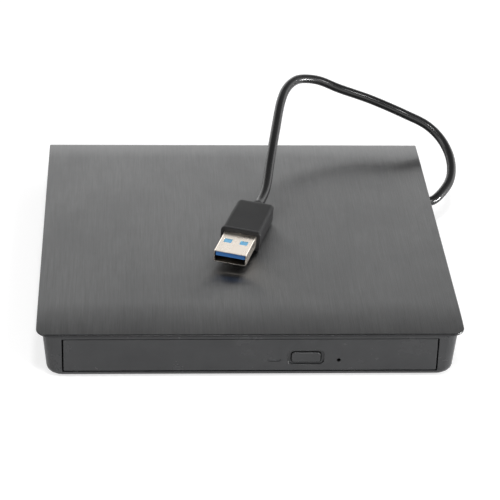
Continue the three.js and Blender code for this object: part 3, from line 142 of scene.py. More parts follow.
# Lead and plug, in millimetres but for the lead's length, which is in metres
LEAD_RADIUS = 1.8
PLUG_TIP = (-5.8, -28.85, 22.56)
PLUG_TURN = math.radians(-17)
PLUG_ROLL = math.radians(2)
SHELL_SHOW = 14.8
SHELL_HIDDEN = 4
SHELL_HALF_WIDE, SHELL_HALF_HIGH = 6, 2.25
SHELL_WALL = 0.32
TONGUE_SHORT = 0.94
TONGUE_BLOCK = 3.2
WINDOW_X, WINDOW_HALF = 2.95, 1.45
WINDOW_FRONT, WINDOW_BACK = 6.9, 9.8
SEAM_HALF, SEAM_DASH = 0.07, 1.75
SEAM_STARTS = (0.4, 2.5, 4.6, 6.7, 8.8, 10.9, 13)
GRIP_LENGTH = 24
GRIP_HALF_WIDE, GRIP_HALF_HIGH = 7.45, 3.8
PLUG_COLLAR_END = 42.2
GLAND_MOUTH = (72.1, 35.2, 11.4)
LEAD_FROM_PLUG = [
    (0.1, 0.33, 0), (0.85, 2.65, 0), (3.3, 10.5, 1.1), (5.9, 25.7, 6.1), (8.5, 40.2, 11.3), (11.6, 56.3, 16.7),
    (13.9, 63.5, 18.4), (16.8, 68.7, 19.1), (20.2, 72.2, 19),
]
LEAD_TO_GLAND = [
    (-37.9, 51.5, 28.3), (-29.1, 50.7, 25), (-17, 47.3, 22), (-3.1, 40.7, 18.4), (5.6, 37.8, 14.9),
    (10.7, 33.1, 11.4), (13.5, 25.8, 7.8), (13.55, 17.3, 4.9), (11.8, 10.8, 3.1), (8.8, 5.8, 1.6),
    (5.8, 2.1, 0.6), (4.3, 0.96, 0.2), (2.4, 0.2, 0), (0.8, 0, 0), (0, 0, 0),
]


# The camera, and things put in the scene

def in_scene(name, data):
    """A new object in the scene."""
    thing = bpy.data.objects.new(name, data)
    bpy.context.scene.collection.objects.link(thing)
    return thing


def make_camera():
    """The camera stands in front of the drive, a little to its left, and looks down on it."""
    yaw, pitch, roll = (math.radians(turn) for turn in (CAMERA_YAW, CAMERA_PITCH, CAMERA_ROLL))
    ahead = Vector((math.sin(yaw) * math.cos(pitch), math.cos(yaw) * math.cos(pitch), -math.sin(pitch)))
    right = Vector((math.cos(yaw), -math.sin(yaw), 0))
    up = right.cross(ahead)
    across = math.cos(roll) * right + math.sin(roll) * up
    upward = -math.sin(roll) * right + math.cos(roll) * up
    data = bpy.data.cameras.new("camera")
    data.sensor_width = SENSOR_WIDTH
    data.lens = FOCAL_LENGTH
    camera = in_scene("camera", data)
    turn = Matrix((across, upward, -ahead)).transposed().to_4x4()
    camera.matrix_world = Matrix.Translation(CAMERA_PLACE) @ turn
    bpy.context.scene.camera = camera


# Mesh building in millimetres

def smooth_path(points, step):
    """Points on a centripetal curve through the given ones, about a step apart."""
    source = [Vector(p) for p in points]
    source = [2 * source[0] - source[1]] + source + [2 * source[-1] - source[-2]]
    out = []
    for a, b, c, d in zip(source, source[1:], source[2:], source[3:]):
        t0, t1, t2 = (math.sqrt((q - p).length) for p, q in ((a, b), (b, c), (c, d)))
        m1 = ((b - a) / t0 - (c - a) / (t0 + t1) + (c - b) / t1) * t1
        m2 = ((c - b) / t1 - (d - b) / (t1 + t2) + (d - c) / t2) * t1
        count = max(2, round((c - b).length / step))
        for i in range(count):
            t = i / count
            out.append(b + m1 * t + (-3 * b + 3 * c - 2 * m1 - m2) * t ** 2
                       + (2 * b - 2 * c + m1 + m2) * t ** 3)
    out.append(source[-2])
    return out


def arc(cx, cy, radius, start, end, steps):
    """Points of an arc, its angles in degrees."""
    out = []
    for i in range(steps + 1):
        angle = math.radians(start + (end - start) * i / steps)
        out.append((cx + radius * math.cos(angle), cy + radius * math.sin(angle)))
    return out


def circle(steps):
    """The cosine and the sine of evenly spaced angles round a circle."""
    return [(math.cos(2 * math.pi * i / steps), math.sin(2 * math.pi * i / steps)) for i in range(steps)]


def bow(start, control, end, steps):
    """Points of a quadratic curve."""
    out = []
    for i in range(steps + 1):
        t = i / steps
        out.append(tuple((1 - t) ** 2 * a + 2 * t * (1 - t) * b + t * t * c
                         for a, b, c in zip(start, control, end)))
    return out


def line(start, end, steps):
    """Evenly spaced points from start to end."""
    return [tuple(a + (b - a) * i / steps for a, b in zip(start, end)) for i in range(steps + 1)]


def round_rect(x0, x1, y0, y1, radius, steps=6):
    """A rounded rectangle's points, anticlockwise."""
    out = []
    for cx, cy, start in ((x1 - radius, y0 + radius, -90), (x1 - radius, y1 - radius, 0),
                          (x0 + radius, y1 - radius, 90), (x0 + radius, y0 + radius, 180)):
        out += arc(cx, cy, radius, start, start + 90, steps)
    return out


def loft(rings, closed=False):
    """A skin over rings that have the same number of points, capped unless it closes on itself."""
    bm = bmesh.new()
    rows = [[bm.verts.new(p) for p in ring] for ring in rings]
    if closed:
        rows.append(rows[0])
    for low, high in zip(rows, rows[1:]):
        for i in range(len(low)):
            j = (i + 1) % len(low)
            bm.faces.new((low[i], low[j], high[j], high[i]))
    if not closed:
        bm.faces.new(rows[0][::-1])
        bm.faces.new(rows[-1])
    bmesh.ops.recalc_face_normals(bm, faces=bm.faces)
    return bm


def lathe(profile, centre=(0, 0), steps=48):
    """A turned shape from (radius, height) pairs that start and end on its axis."""
    bm = bmesh.new()
    rows = []
    for radius, z in profile:
        if radius < 1e-6:
            rows.append([bm.verts.new((centre[0], centre[1], z))])
        else:
            rows.append([bm.verts.new((centre[0] + radius * c, centre[1] + radius * s, z)) for c, s in circle(steps)])
    for low, high in zip(rows, rows[1:]):
        for i in range(steps):
            j = (i + 1) % steps
            if len(low) == 1:
                bm.faces.new((low[0], high[j], high[i]))
            elif len(high) == 1:
                bm.faces.new((low[i], low[j], high[0]))
            else:
                bm.faces.new((low[i], low[j], high[j], high[i]))
    bmesh.ops.recalc_face_normals(bm, faces=bm.faces)
    return bm


def on_axis(axis, at, a, b):
    """A point at a place along X, Y or Z, with its other two coordinates in order."""
    return {"x": (at, a, b), "y": (a, at, b), "z": (a, b, at)}[axis]


def prism(axis, points, start, end):
    """A straight bar of the given outline along X, Y or Z."""
    return loft([[on_axis(axis, at, a, b) for a, b in points] for at in (start, end)])


def block(x0, x1, y0, y1, z0, z1):
    """A plain box to cut with or to build on."""
    return prism("z", [(x0, y0), (x1, y0), (x1, y1), (x0, y1)], z0, z1)


def round_over(radius, steps):
    """A rounded edge's stations from the end inwards: how far in each lies and how much it is inset."""
    return [(radius * (1 - math.sin(a)), radius * (1 - math.cos(a)))
            for a in (math.pi / 2 * (1 - i / steps) for i in range(steps + 1))]


def soft_bar(axis, points, start, end, radius, back=True, steps=4):
    """A bar whose first end, and its last unless back is False, has its edges rounded over."""
    edge = round_over(radius, steps)
    stations = [(start + inward, inset) for inward, inset in edge]
    stations += [(end - inward, inset) for inward, inset in edge[::-1]] if back else [(end, 0)]
    return loft([[on_axis(axis, at, a, b) for a, b in inset_outline(points, inset)] for at, inset in stations])


def inset_outline(points, inset):
    """An anticlockwise outline moved inwards by a distance."""
    out = []
    for i, p in enumerate(points):
        before, after = Vector(points[i - 1]), Vector(points[(i + 1) % len(points)])
        here = Vector(p)
        first, second = here - before, after - here
        first = first.normalized() if first.length > 1e-9 else second.normalized()
        second = second.normalized() if second.length > 1e-9 else first
        n1, n2 = Vector((-first.y, first.x)), Vector((-second.y, second.x))
        out.append(tuple(here + (n1 + n2) * (inset / max(0.3, 1 + n1.dot(n2)))))
    return out


def joined(*shapes):
    """Several closed shapes in one mesh."""
    first = shapes[0]
    for other in shapes[1:]:
        scratch = bpy.data.meshes.new("scratch")
        other.to_mesh(scratch)
        first.from_mesh(scratch)
        bpy.data.meshes.remove(scratch)
        other.free()
    return first


def moved(bm, matrix):
    """The same shape, turned or shifted."""
    bmesh.ops.transform(bm, matrix=matrix, verts=bm.verts)
    return bm


def spare_object(bm):
    """A short-lived object in the scene for modifiers to work on."""
    mesh = bpy.data.meshes.new("scratch")
    bm.to_mesh(mesh)
    bm.free()
    return in_scene("scratch", mesh)


def baked(thing):
    """The object's shape with its modifiers in it; the object itself goes."""
    bpy.context.view_layer.update()
    graph = bpy.context.evaluated_depsgraph_get()
    mesh = bpy.data.meshes.new_from_object(thing.evaluated_get(graph))
    thing.modifiers.clear()
    bpy.data.objects.remove(thing)
    out = bmesh.new()
    out.from_mesh(mesh)
    bpy.data.meshes.remove(mesh)
    return out


def carved(bm, *tools):
    """The shape with each tool cut out of it."""
    target = spare_object(bm)
    others = [spare_object(tool) for tool in tools]
    for other in others:
        modifier = target.modifiers.new("cut", "BOOLEAN")
        modifier.operation = "DIFFERENCE"
        modifier.solver = "EXACT"
        modifier.object = other
    out = baked(target)
    for other in others:
        bpy.data.objects.remove(other)
    return out


def eased(bm, width, angle=35, shortest=0.5, where=None):
    """The shape with its long sharp edges rounded a little."""
    bmesh.ops.remove_doubles(bm, verts=bm.verts, dist=1e-4)
    bmesh.ops.dissolve_limit(bm, angle_limit=math.radians(0.6), verts=bm.verts, edges=bm.edges)
    edges = []
    for edge in bm.edges:
        if len(edge.link_faces) != 2 or edge.calc_length() < shortest:
            continue
        if edge.calc_face_angle(0) < math.radians(angle):
            continue
        if where is None or where((edge.verts[0].co + edge.verts[1].co) / 2):
            edges.append(edge)
    if edges:
        bmesh.ops.bevel(bm, geom=edges, offset=width, offset_type="OFFSET", segments=2, profile=0.5,
                        affect="EDGES", clamp_overlap=True)
    return bm


def from_node(name):
    """A CAD node's shape in millimetres, its loose triangles joined up."""
    bm = bmesh.new()
    bm.from_mesh(frame["nodes"][name].data)
    bmesh.ops.remove_doubles(bm, verts=bm.verts, dist=1e-6)
    bmesh.ops.scale(bm, vec=(1000, 1000, 1000), verts=bm.verts)
    return bm


def piece(name, bm, material, body, nodes=(), sharp=38):
    """A finished piece in metres, of one finish or of several by face. It rides on a body and stands for its CAD
    nodes."""
    bmesh.ops.scale(bm, vec=(MM, MM, MM), verts=bm.verts)
    mesh = bpy.data.meshes.new(name)
    bm.to_mesh(mesh)
    bm.free()
    finishes = material if isinstance(material, tuple) else (material,)
    parts = [face.material_index for face in mesh.polygons]
    mesh.materials.clear()
    for finish in finishes:
        mesh.materials.append(finish)
    mesh.polygons.foreach_set("material_index", [min(part, len(finishes) - 1) for part in parts])
    mesh.shade_smooth()
    mesh.set_sharp_from_angle(angle=math.radians(sharp))
    thing = in_scene(name, mesh)
    weight = thing.modifiers.new("face weight", "WEIGHTED_NORMAL")
    weight.keep_sharp = True
    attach(thing, body)
    if nodes:
        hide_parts(*nodes)
    return thing


# Node trees in short form

def fill(tree, socket, value):
    """Links an input to another socket, or sets it to a plain value."""
    if isinstance(value, bpy.types.NodeSocket):
        tree.links.new(value, socket)
    else:
        socket.default_value = value


def connect(tree, sockets, **values):
    """Fills several inputs by their names."""
    for key, value in values.items():
        fill(tree, sockets[key.replace("_", " ")], value)


def node(tree, kind, *ordered, **named):
    """A new node: its inputs by order or by name, linked or plain, and its settings by name."""
    made = tree.nodes.new(kind)
    for place, value in enumerate(ordered):
        fill(tree, made.inputs[place], value)
    for key, value in named.items():
        if hasattr(made, key):
            setattr(made, key, value)
        else:
            connect(tree, made.inputs, **{key: value})
    return made


def worked_out(tree, operation, *values):
    """The result of a calculation with linked or plain numbers."""
    return node(tree, "ShaderNodeMath", *values, operation=operation).outputs[0]


def own_place(tree):
    """The coordinates of a point on its own object."""
    return tree.nodes.new("ShaderNodeTexCoord").outputs["Object"]


def noise(tree, place, **values):
    """A soft noise between 0 and 1."""
    return node(tree, "ShaderNodeTexNoise", Vector=place, **values).outputs["Fac"]


def spread(tree, value, low, high, start=0.3, end=0.7):
    """A number from low to high, as a linked value goes from start to end."""
    return node(tree, "ShaderNodeMapRange", Value=value, From_Min=start, From_Max=end, To_Min=low,
                To_Max=high).outputs["Result"]


def blend_colours(tree, factor, first, second):
    """A colour between two by a linked factor."""
    mix = node(tree, "ShaderNodeMix", data_type="RGBA", Factor=factor)
    for place, value in ((6, first), (7, second)):
        fill(tree, mix.inputs[place], (*value, 1) if isinstance(value, tuple) else value)
    return mix.outputs[2]


def relief(tree, height, distance):
    """A bump from a height in millimetres."""
    return node(tree, "ShaderNodeBump", Strength=1.0, Distance=distance * MM, Height=height).outputs["Normal"]


# Shared surface effects

def effect(name, inputs, outputs):
    """An empty shader group, the sockets of what comes in, and those of its results."""
    tree = bpy.data.node_groups.new(name, "ShaderNodeTree")
    for label, value in inputs.items():
        socket = tree.interface.new_socket(name=label, in_out="INPUT", socket_type="NodeSocketFloat")
        socket.default_value = value
    for label in outputs:
        tree.interface.new_socket(name=label, in_out="OUTPUT", socket_type="NodeSocketFloat")
    return tree, tree.nodes.new("NodeGroupInput").outputs, tree.nodes.new("NodeGroupOutput").inputs


def use(tree, group, **values):
    """The results of a shared effect, placed in a material with its own values."""
    return node(tree, "ShaderNodeGroup", node_tree=group, **values).outputs


def make_brushing():
    """Straight streaks along Y, fine and short ones mixed, and the slow clouding of the coat."""
    tree, given, result = effect("brushing", {"Across": 5200, "Along": 40}, ("Shade", "Cloud"))

    def streaks(*scales, **values):
        stretch = node(tree, "ShaderNodeCombineXYZ", *scales).outputs[0]
        place = node(tree, "ShaderNodeVectorMath", own_place(tree), stretch, operation="MULTIPLY").outputs[0]
        return noise(tree, place, Scale=1, **values)

    fine = streaks(given["Across"], given["Along"], 400, Detail=3, Roughness=0.65)
    short = streaks(1250, 75, 200, Detail=3, Roughness=0.7)
    cloud = streaks(42, 30, 30, Detail=5, Roughness=0.6, Distortion=0.4)
    shade = node(tree, "ShaderNodeMix", Factor=0.45, A=fine, B=short).outputs["Result"]
    connect(tree, result, Shade=shade, Cloud=cloud)
    return tree


def make_moulded_grain():
    """The even spark texture of moulded plastic, and the slow mottle of its gloss."""
    tree, given, result = effect("moulded grain", {"Scale": 3200, "Mottle": 90}, ("Height", "Mottle"))
    place = own_place(tree)
    connect(tree, result, Height=noise(tree, place, Scale=given["Scale"], Detail=4, Roughness=0.7),
            Mottle=noise(tree, place, Scale=given["Mottle"], Detail=5, Roughness=0.62))
    return tree


def make_handling():
    """Soft patches left by fingers, as a mask."""
    tree, given, result = effect("handling", {"Scale": 45, "Low": 0.45, "High": 0.8}, ("Mask",))
    haze = noise(tree, own_place(tree), Scale=given["Scale"], Detail=6, Roughness=0.55, Distortion=0.6)
    connect(tree, result, Mask=spread(tree, haze, 0, 1, given["Low"], given["High"]))
    return tree


def make_edge_wear():
    """Where a piece's outer edges are rubbed a little paler."""
    tree, given, result = effect("edge wear", {"Low": 0.52, "High": 0.6, "Scale": 900}, ("Mask",))
    point = tree.nodes.new("ShaderNodeNewGeometry").outputs["Pointiness"]
    edge = spread(tree, point, 0, 1, given["Low"], given["High"])
    patchy = noise(tree, own_place(tree), Scale=given["Scale"], Detail=3)
    connect(tree, result, Mask=worked_out(tree, "MULTIPLY", edge, patchy))
    return tree


BRUSHING = make_brushing()
MOULDED_GRAIN = make_moulded_grain()
HANDLING = make_handling()
EDGE_WEAR = make_edge_wear()


# Repeated shapes, grown by Geometry Nodes from a unit shape

def growth(name, *inputs):
    """An empty geometry tree and what comes in: the unit shape, the sizes as named inputs, and the finish."""
    tree = bpy.data.node_groups.new(name, "GeometryNodeTree")
    for label, kind, value in (("Unit", "Geometry", None), *inputs, ("Finish", "Material", None)):
        socket = tree.interface.new_socket(name=label, in_out="INPUT", socket_type="NodeSocket" + kind)
        if value is not None:
            socket.default_value = value
    tree.interface.new_socket(name="Grown", in_out="OUTPUT", socket_type="NodeSocketGeometry")
    return tree, tree.nodes.new("NodeGroupInput").outputs


def close_growth(tree, given, geometry):
    """Ends a tree: real copies in place of instances, with their finish."""
    real = node(tree, "GeometryNodeRealizeInstances", Geometry=geometry)
    coat = node(tree, "GeometryNodeSetMaterial", Geometry=real.outputs["Geometry"], Material=given["Finish"])
    node(tree, "NodeGroupOutput", Grown=coat.outputs["Geometry"])
    return tree


def copy_unit(tree, given, points, **values):
    """Ends a tree with a copy of the unit shape on each point."""
    copies = node(tree, "GeometryNodeInstanceOnPoints", Points=points, Instance=given["Unit"], **values)
    return close_growth(tree, given, copies.outputs["Instances"])


def make_row_growth():
    """Copies of the unit shape along a straight line."""
    tree, given = growth("row of copies", ("Count", "Int", 4), ("Start", "Vector", (0, 0, 0)),
                         ("Step", "Vector", (1, 0, 0)))
    spots = node(tree, "GeometryNodeMeshLine", mode="OFFSET", Count=given["Count"], Start_Location=given["Start"],
                 Offset=given["Step"])
    return copy_unit(tree, given, spots.outputs["Mesh"])


def make_ring_growth():
    """Copies of the unit shape round a circle, each turned to face outwards."""
    tree, given = growth("ring of copies", ("Count", "Int", 9), ("Radius", "Float", 5.0), ("Height", "Float", 0.0),
                         ("First Turn", "Float", 0.0))
    spots = node(tree, "GeometryNodeMeshLine", mode="OFFSET", Count=given["Count"], Offset=(0, 0, 0))
    share = worked_out(tree, "DIVIDE", tree.nodes.new("GeometryNodeInputIndex").outputs[0], given["Count"])
    angle = worked_out(tree, "MULTIPLY_ADD", share, 2 * math.pi, given["First Turn"])
    turn = node(tree, "ShaderNodeCombineXYZ", Z=angle)
    out = node(tree, "ShaderNodeCombineXYZ", X=given["Radius"], Z=given["Height"])
    swing = node(tree, "ShaderNodeVectorRotate", rotation_type="Z_AXIS", Vector=out.outputs[0], Angle=angle)
    put = node(tree, "GeometryNodeSetPosition", Geometry=spots.outputs["Mesh"], Position=swing.outputs[0])
    return copy_unit(tree, given, put.outputs["Geometry"], Rotation=turn.outputs[0])


def make_helix_growth():
    """A ridge that winds round a shaft along Z: a thread or a coil."""
    tree, given = growth("helix", ("Radius", "Float", 1.0), ("Length", "Float", 10.0), ("Turns", "Float", 8.0),
                         ("Wire", "Float", 0.2))
    coil = node(tree, "GeometryNodeCurveSpiral", Resolution=20, Rotations=given["Turns"],
                Start_Radius=given["Radius"], End_Radius=given["Radius"], Height=given["Length"])
    wire = node(tree, "GeometryNodeCurvePrimitiveCircle", Resolution=8, Radius=given["Wire"])
    sweep = node(tree, "GeometryNodeCurveToMesh", Fill_Caps=True, Curve=coil.outputs["Curve"],
                 Profile_Curve=wire.outputs["Curve"])
    both = node(tree, "GeometryNodeJoinGeometry", Geometry=given["Unit"])
    tree.links.new(sweep.outputs["Mesh"], both.inputs["Geometry"])
    return close_growth(tree, given, both.outputs["Geometry"])


def make_field_growth():
    """Copies of the unit shape scattered over a grid, some left out, some turned and some larger."""
    tree, given = growth("field of copies", ("Columns", "Int", 8), ("Rows", "Int", 6), ("Width", "Float", 20.0),
                         ("Depth", "Float", 14.0), ("Share", "Float", 0.6), ("Seed", "Int", 3))
    grid = node(tree, "GeometryNodeMeshGrid", Size_X=given["Width"], Size_Y=given["Depth"],
                Vertices_X=given["Columns"], Vertices_Y=given["Rows"])
    pick, sizes, quarter = (node(tree, "FunctionNodeRandomValue", data_type=kind, Seed=given["Seed"])
                            for kind in ("BOOLEAN", "FLOAT_VECTOR", "INT"))
    connect(tree, pick.inputs, Probability=given["Share"])
    for chooser, place, value in ((sizes, 0, (0.7, 0.75, 0.6)), (sizes, 1, (1.35, 1.1, 1.5)), (quarter, 4, 0),
                                  (quarter, 5, 1)):
        chooser.inputs[place].default_value = value
    turn = worked_out(tree, "MULTIPLY", quarter.outputs[2], math.pi / 2)
    axis = node(tree, "ShaderNodeCombineXYZ", Z=turn)
    return copy_unit(tree, given, grid.outputs["Mesh"], Selection=pick.outputs[3], Rotation=axis.outputs[0],
                     Scale=sizes.outputs[0])


def grown(tree, unit, finish, **sizes):
    """The plain shape that a tree grows from a unit shape, in millimetres."""
    thing = spare_object(unit)
    modifier = thing.modifiers.new("growth", "NODES")
    modifier.node_group = tree
    sizes["Finish"] = finish
    for item in tree.interface.items_tree:
        if item.in_out == "INPUT" and item.name in sizes:
            modifier[item.identifier] = sizes[item.name]
    out = baked(thing)
    bmesh.ops.recalc_face_normals(out, faces=out.faces)
    return out


ROW = make_row_growth()
RING = make_ring_growth()
HELIX = make_helix_growth()
FIELD = make_field_growth()


# Finishes

def blank(name, **values):
    """A material, its tree, and the inputs of its surface shader with some plain values."""
    material = bpy.data.materials.new(name)
    material.use_nodes = True
    shader = material.node_tree.nodes["Principled BSDF"].inputs
    connect(material.node_tree, shader, **values)
    return material, material.node_tree, shader


def coated(name, colours, gloss, handling, grain, depth, wear, mottle, **values):
    """A surface with grain, cloudy colour and gloss, rubbed edges and faint handling."""
    material, tree, shader = blank(name, **values)
    plain, pale, rubbed = colours
    patches, mark = handling
    skin = use(tree, MOULDED_GRAIN, Scale=grain, Mottle=mottle)
    base = blend_colours(tree, spread(tree, skin["Mottle"], 0, 1), plain, pale)
    worn = spread(tree, use(tree, EDGE_WEAR)["Mask"], 0, wear, 0, 1)
    touched = use(tree, HANDLING, Scale=patches)["Mask"]
    connect(tree, shader, Base_Color=blend_colours(tree, worn, base, rubbed),
            Roughness=worked_out(tree, "MULTIPLY_ADD", touched, mark, spread(tree, skin["Mottle"], *gloss)),
            Normal=relief(tree, skin["Height"], depth))
    return material


def moulded(name, colour, pale, rough, grain=3200, depth=0.012, wear=0.35, **values):
    """Moulded plastic or rubber, whose rubbed edges are paler."""
    rubbed = tuple(min(1, c * 1.9 + 0.01) for c in pale)
    return coated(name, (colour, pale, rubbed), (rough - 0.05, rough + 0.05), (38, 0.02), grain, depth, wear,
                  mottle=90, **values)


def rolled(name, colour, pale, rough, grain=2400, depth=0.004, wear=0.4):
    """Sheet or turned metal, whose rubbed edges are brighter."""
    bright = tuple(min(1, c * 1.25 + 0.04) for c in pale)
    return coated(name, (colour, pale, bright), (rough - 0.06, rough + 0.08), (60, 0.08), grain, depth, wear,
                  mottle=160, Metallic=1.0)


def make_brushed_lid():
    """The cover's dark brushed face, whose streaks run front to back."""
    material, tree, shader = blank("brushed lid", Metallic=1.0, Anisotropic=1.0)
    streaks = use(tree, BRUSHING, Across=6400, Along=48)
    touched = use(tree, HANDLING, Scale=26, Low=0.5, High=0.85)["Mask"]
    tone = spread(tree, streaks["Shade"], 0, 1, 0.36, 0.66)
    base = blend_colours(tree, tone, (0.094, 0.095, 0.095), (0.128, 0.129, 0.130))
    smudge = spread(tree, streaks["Cloud"], 0, 0.5, 0.42, 0.68)
    gloss = spread(tree, streaks["Shade"], 0.29, 0.35, 0.35, 0.65)
    flow = node(tree, "ShaderNodeTangent", direction_type="UV_MAP", uv_map="brushing")
    connect(tree, shader, Base_Color=blend_colours(tree, smudge, base, (0.082, 0.083, 0.084)),
            Roughness=worked_out(tree, "MULTIPLY_ADD", touched, 0.03, gloss),
            Normal=relief(tree, streaks["Shade"], 0.08), Tangent=flow.outputs["Tangent"])
    return material


def make_ribbon_film():
    """The ribbon cable's pale film with its rows of conductors."""
    material, tree, shader = blank("ribbon film", Coat_Weight=0.3)
    lanes = node(tree, "ShaderNodeTexWave", Vector=own_place(tree), Scale=320, Distortion=0.0,
                 bands_direction="X").outputs["Fac"]
    skin = use(tree, MOULDED_GRAIN, Scale=1800, Mottle=140)
    film = blend_colours(tree, spread(tree, skin["Mottle"], 0, 1), (0.62, 0.61, 0.56), (0.72, 0.71, 0.66))
    core = spread(tree, lanes, 0, 0.75, 0.45, 0.6)
    connect(tree, shader, Base_Color=blend_colours(tree, core, film, (0.46, 0.45, 0.42)),
            Roughness=spread(tree, skin["Mottle"], 0.3, 0.42), Normal=relief(tree, lanes, 0.03))
    return material


def make_board_green():
    """A circuit board: solder mask over copper lines, with rows of small lands."""
    material, tree, shader = blank("circuit board", Specular_IOR_Level=0.5)
    place = own_place(tree)
    lines = node(tree, "ShaderNodeTexBrick", Vector=place, offset=0.5, squash=0.6, squash_frequency=3, Scale=210,
                 Mortar_Size=0.035, Brick_Width=1.7, Row_Height=0.5).outputs["Fac"]
    lands = node(tree, "ShaderNodeTexVoronoi", Vector=place, Scale=520, Randomness=0.25).outputs["Distance"]
    dots = spread(tree, lands, 1, 0, 0.16, 0.2)
    skin = use(tree, MOULDED_GRAIN, Scale=1500, Mottle=240)
    mask = blend_colours(tree, spread(tree, skin["Mottle"], 0, 1), (0.006, 0.075, 0.035), (0.010, 0.11, 0.05))
    copper = blend_colours(tree, lines, mask, (0.03, 0.2, 0.09))
    connect(tree, shader, Base_Color=blend_colours(tree, dots, copper, (0.45, 0.42, 0.3)),
            Roughness=spread(tree, skin["Mottle"], 0.28, 0.42), Normal=relief(tree, lines, 0.03))
    return material


def make_lens_glass():
    """The lens's faintly blue glass, a little uneven in its gloss."""
    material, tree, shader = blank("lens glass", Transmission_Weight=1.0, IOR=1.49)
    skin = use(tree, MOULDED_GRAIN, Scale=1800, Mottle=300)
    tint = (0.72, 0.82, 0.98)
    pale = tuple(min(1, c * 1.06) for c in tint)
    connect(tree, shader, Base_Color=blend_colours(tree, skin["Mottle"], tint, pale),
            Roughness=spread(tree, skin["Mottle"], 0.02, 0.08), Normal=relief(tree, skin["Height"], 0.002))
    return material


BRUSHED_LID = make_brushed_lid()
SATIN_BLACK = moulded("satin black", (0.0165, 0.017, 0.018), (0.0235, 0.024, 0.025), 0.24, wear=0.03)
RUBBER = moulded("rubber", (0.008, 0.008, 0.0084), (0.0115, 0.0115, 0.012), 0.5, grain=4200,
                 Specular_IOR_Level=0.18)
LEAD_BLACK = moulded("lead black", (0.006, 0.006, 0.0063), (0.009, 0.009, 0.0093), 0.24, grain=2600, depth=0.003,
                     wear=0.1, Specular_IOR_Level=0.45)
SHEET_METAL = rolled("sheet metal", (0.50, 0.51, 0.52), (0.62, 0.63, 0.64), 0.34)
STEEL = rolled("steel", (0.55, 0.55, 0.56), (0.68, 0.68, 0.69), 0.22)
PLATED = rolled("plated shell", (0.93, 0.84, 0.74), (0.98, 0.90, 0.80), 0.24, wear=0.3)
# Painted shade: a dark brown copy of the plated metal for the shell's inner faces, standing in for the shade inside
# the shell
SHELL_INSIDE_PAINTED_SHADE = rolled("shell inside painted shade", (0.10, 0.085, 0.065), (0.16, 0.135, 0.105), 0.4, wear=0.1)
CONTACT_GOLD = rolled("contact gold", (0.78, 0.56, 0.22), (0.88, 0.68, 0.32), 0.22)
BLUE_PLASTIC = moulded("blue plastic", (0.028, 0.11, 0.30), (0.036, 0.14, 0.36), 0.4, depth=0.004, wear=0.1)
# Painted light: a paler copy of the tongue's blue plastic for its upward faces, as if lit from above
BLUE_TOP_PAINTED_LIGHT = moulded("blue top painted light", (0.12, 0.38, 0.62), (0.15, 0.43, 0.70), 0.4, depth=0.004, wear=0.1)
CHIP_BLACK = moulded("chip black", (0.014, 0.014, 0.015), (0.022, 0.022, 0.023), 0.5, grain=6000)
WHITE_PLASTIC = moulded("white plastic", (0.62, 0.61, 0.57), (0.72, 0.71, 0.67), 0.45, wear=0.1)
GLOSS_BLACK = moulded("gloss black", (0.008, 0.008, 0.009), (0.012, 0.012, 0.013), 0.2, grain=2200, depth=0.002,
                      wear=0.1, Specular_IOR_Level=0.36)
LIGHT_PIPE = moulded("light pipe", (0.02, 0.021, 0.022), (0.03, 0.031, 0.033), 0.25, depth=0.002, wear=0.1)
WINDING = rolled("winding copper", (0.55, 0.23, 0.09), (0.72, 0.34, 0.14), 0.3, grain=5200, depth=0.01)
RIBBON_FILM = make_ribbon_film()
BOARD = make_board_green()
LENS_GLASS = make_lens_glass()


# Lead

def make_lead():
    """The free lead, as one smooth tube from the case's side over the back to the plug."""
    reach = Vector((-math.sin(PLUG_TURN), math.cos(PLUG_TURN), 0)) * PLUG_COLLAR_END
    collar = Vector(PLUG_TIP) + reach
    mouth = Vector(GLAND_MOUTH)
    route = [collar + Vector(p) for p in LEAD_FROM_PLUG] + [mouth + Vector(p) for p in LEAD_TO_GLAND]
    path = smooth_path(route[::-1], 1.2)
    rings = []
    side = None
    for i, p in enumerate(path):
        ahead = (path[min(i + 1, len(path) - 1)] - path[max(i - 1, 0)]).normalized()
        if side is None:
            side = ahead.cross(Vector((0, 0, 1))).normalized()
        side = (side - ahead * side.dot(ahead)).normalized()
        other = ahead.cross(side)
        rings.append([p + (side * c + other * s) * LEAD_RADIUS for c, s in circle(28)])
    lead = piece("lead", loft(rings), LEAD_BLACK, "case", ["usb_cable"])
    return lead, [p * MM for p in path]


def in_plug_frame(bm):
    """Turns a shape from the plug's own frame to its place."""
    return moved(bm, Matrix.Translation(PLUG_TIP) @ Matrix.Rotation(PLUG_TURN, 4, "Z")
                 @ Matrix.Rotation(PLUG_ROLL, 4, "Y"))


def in_both_walls(x0, x1, y0, y1, depth):
    """Blocks that cut the same opening in the shell's lower and upper wall."""
    return [block(x0, x1, y0, y1, *reach) for reach in ((-3, -depth), (depth, 3))]


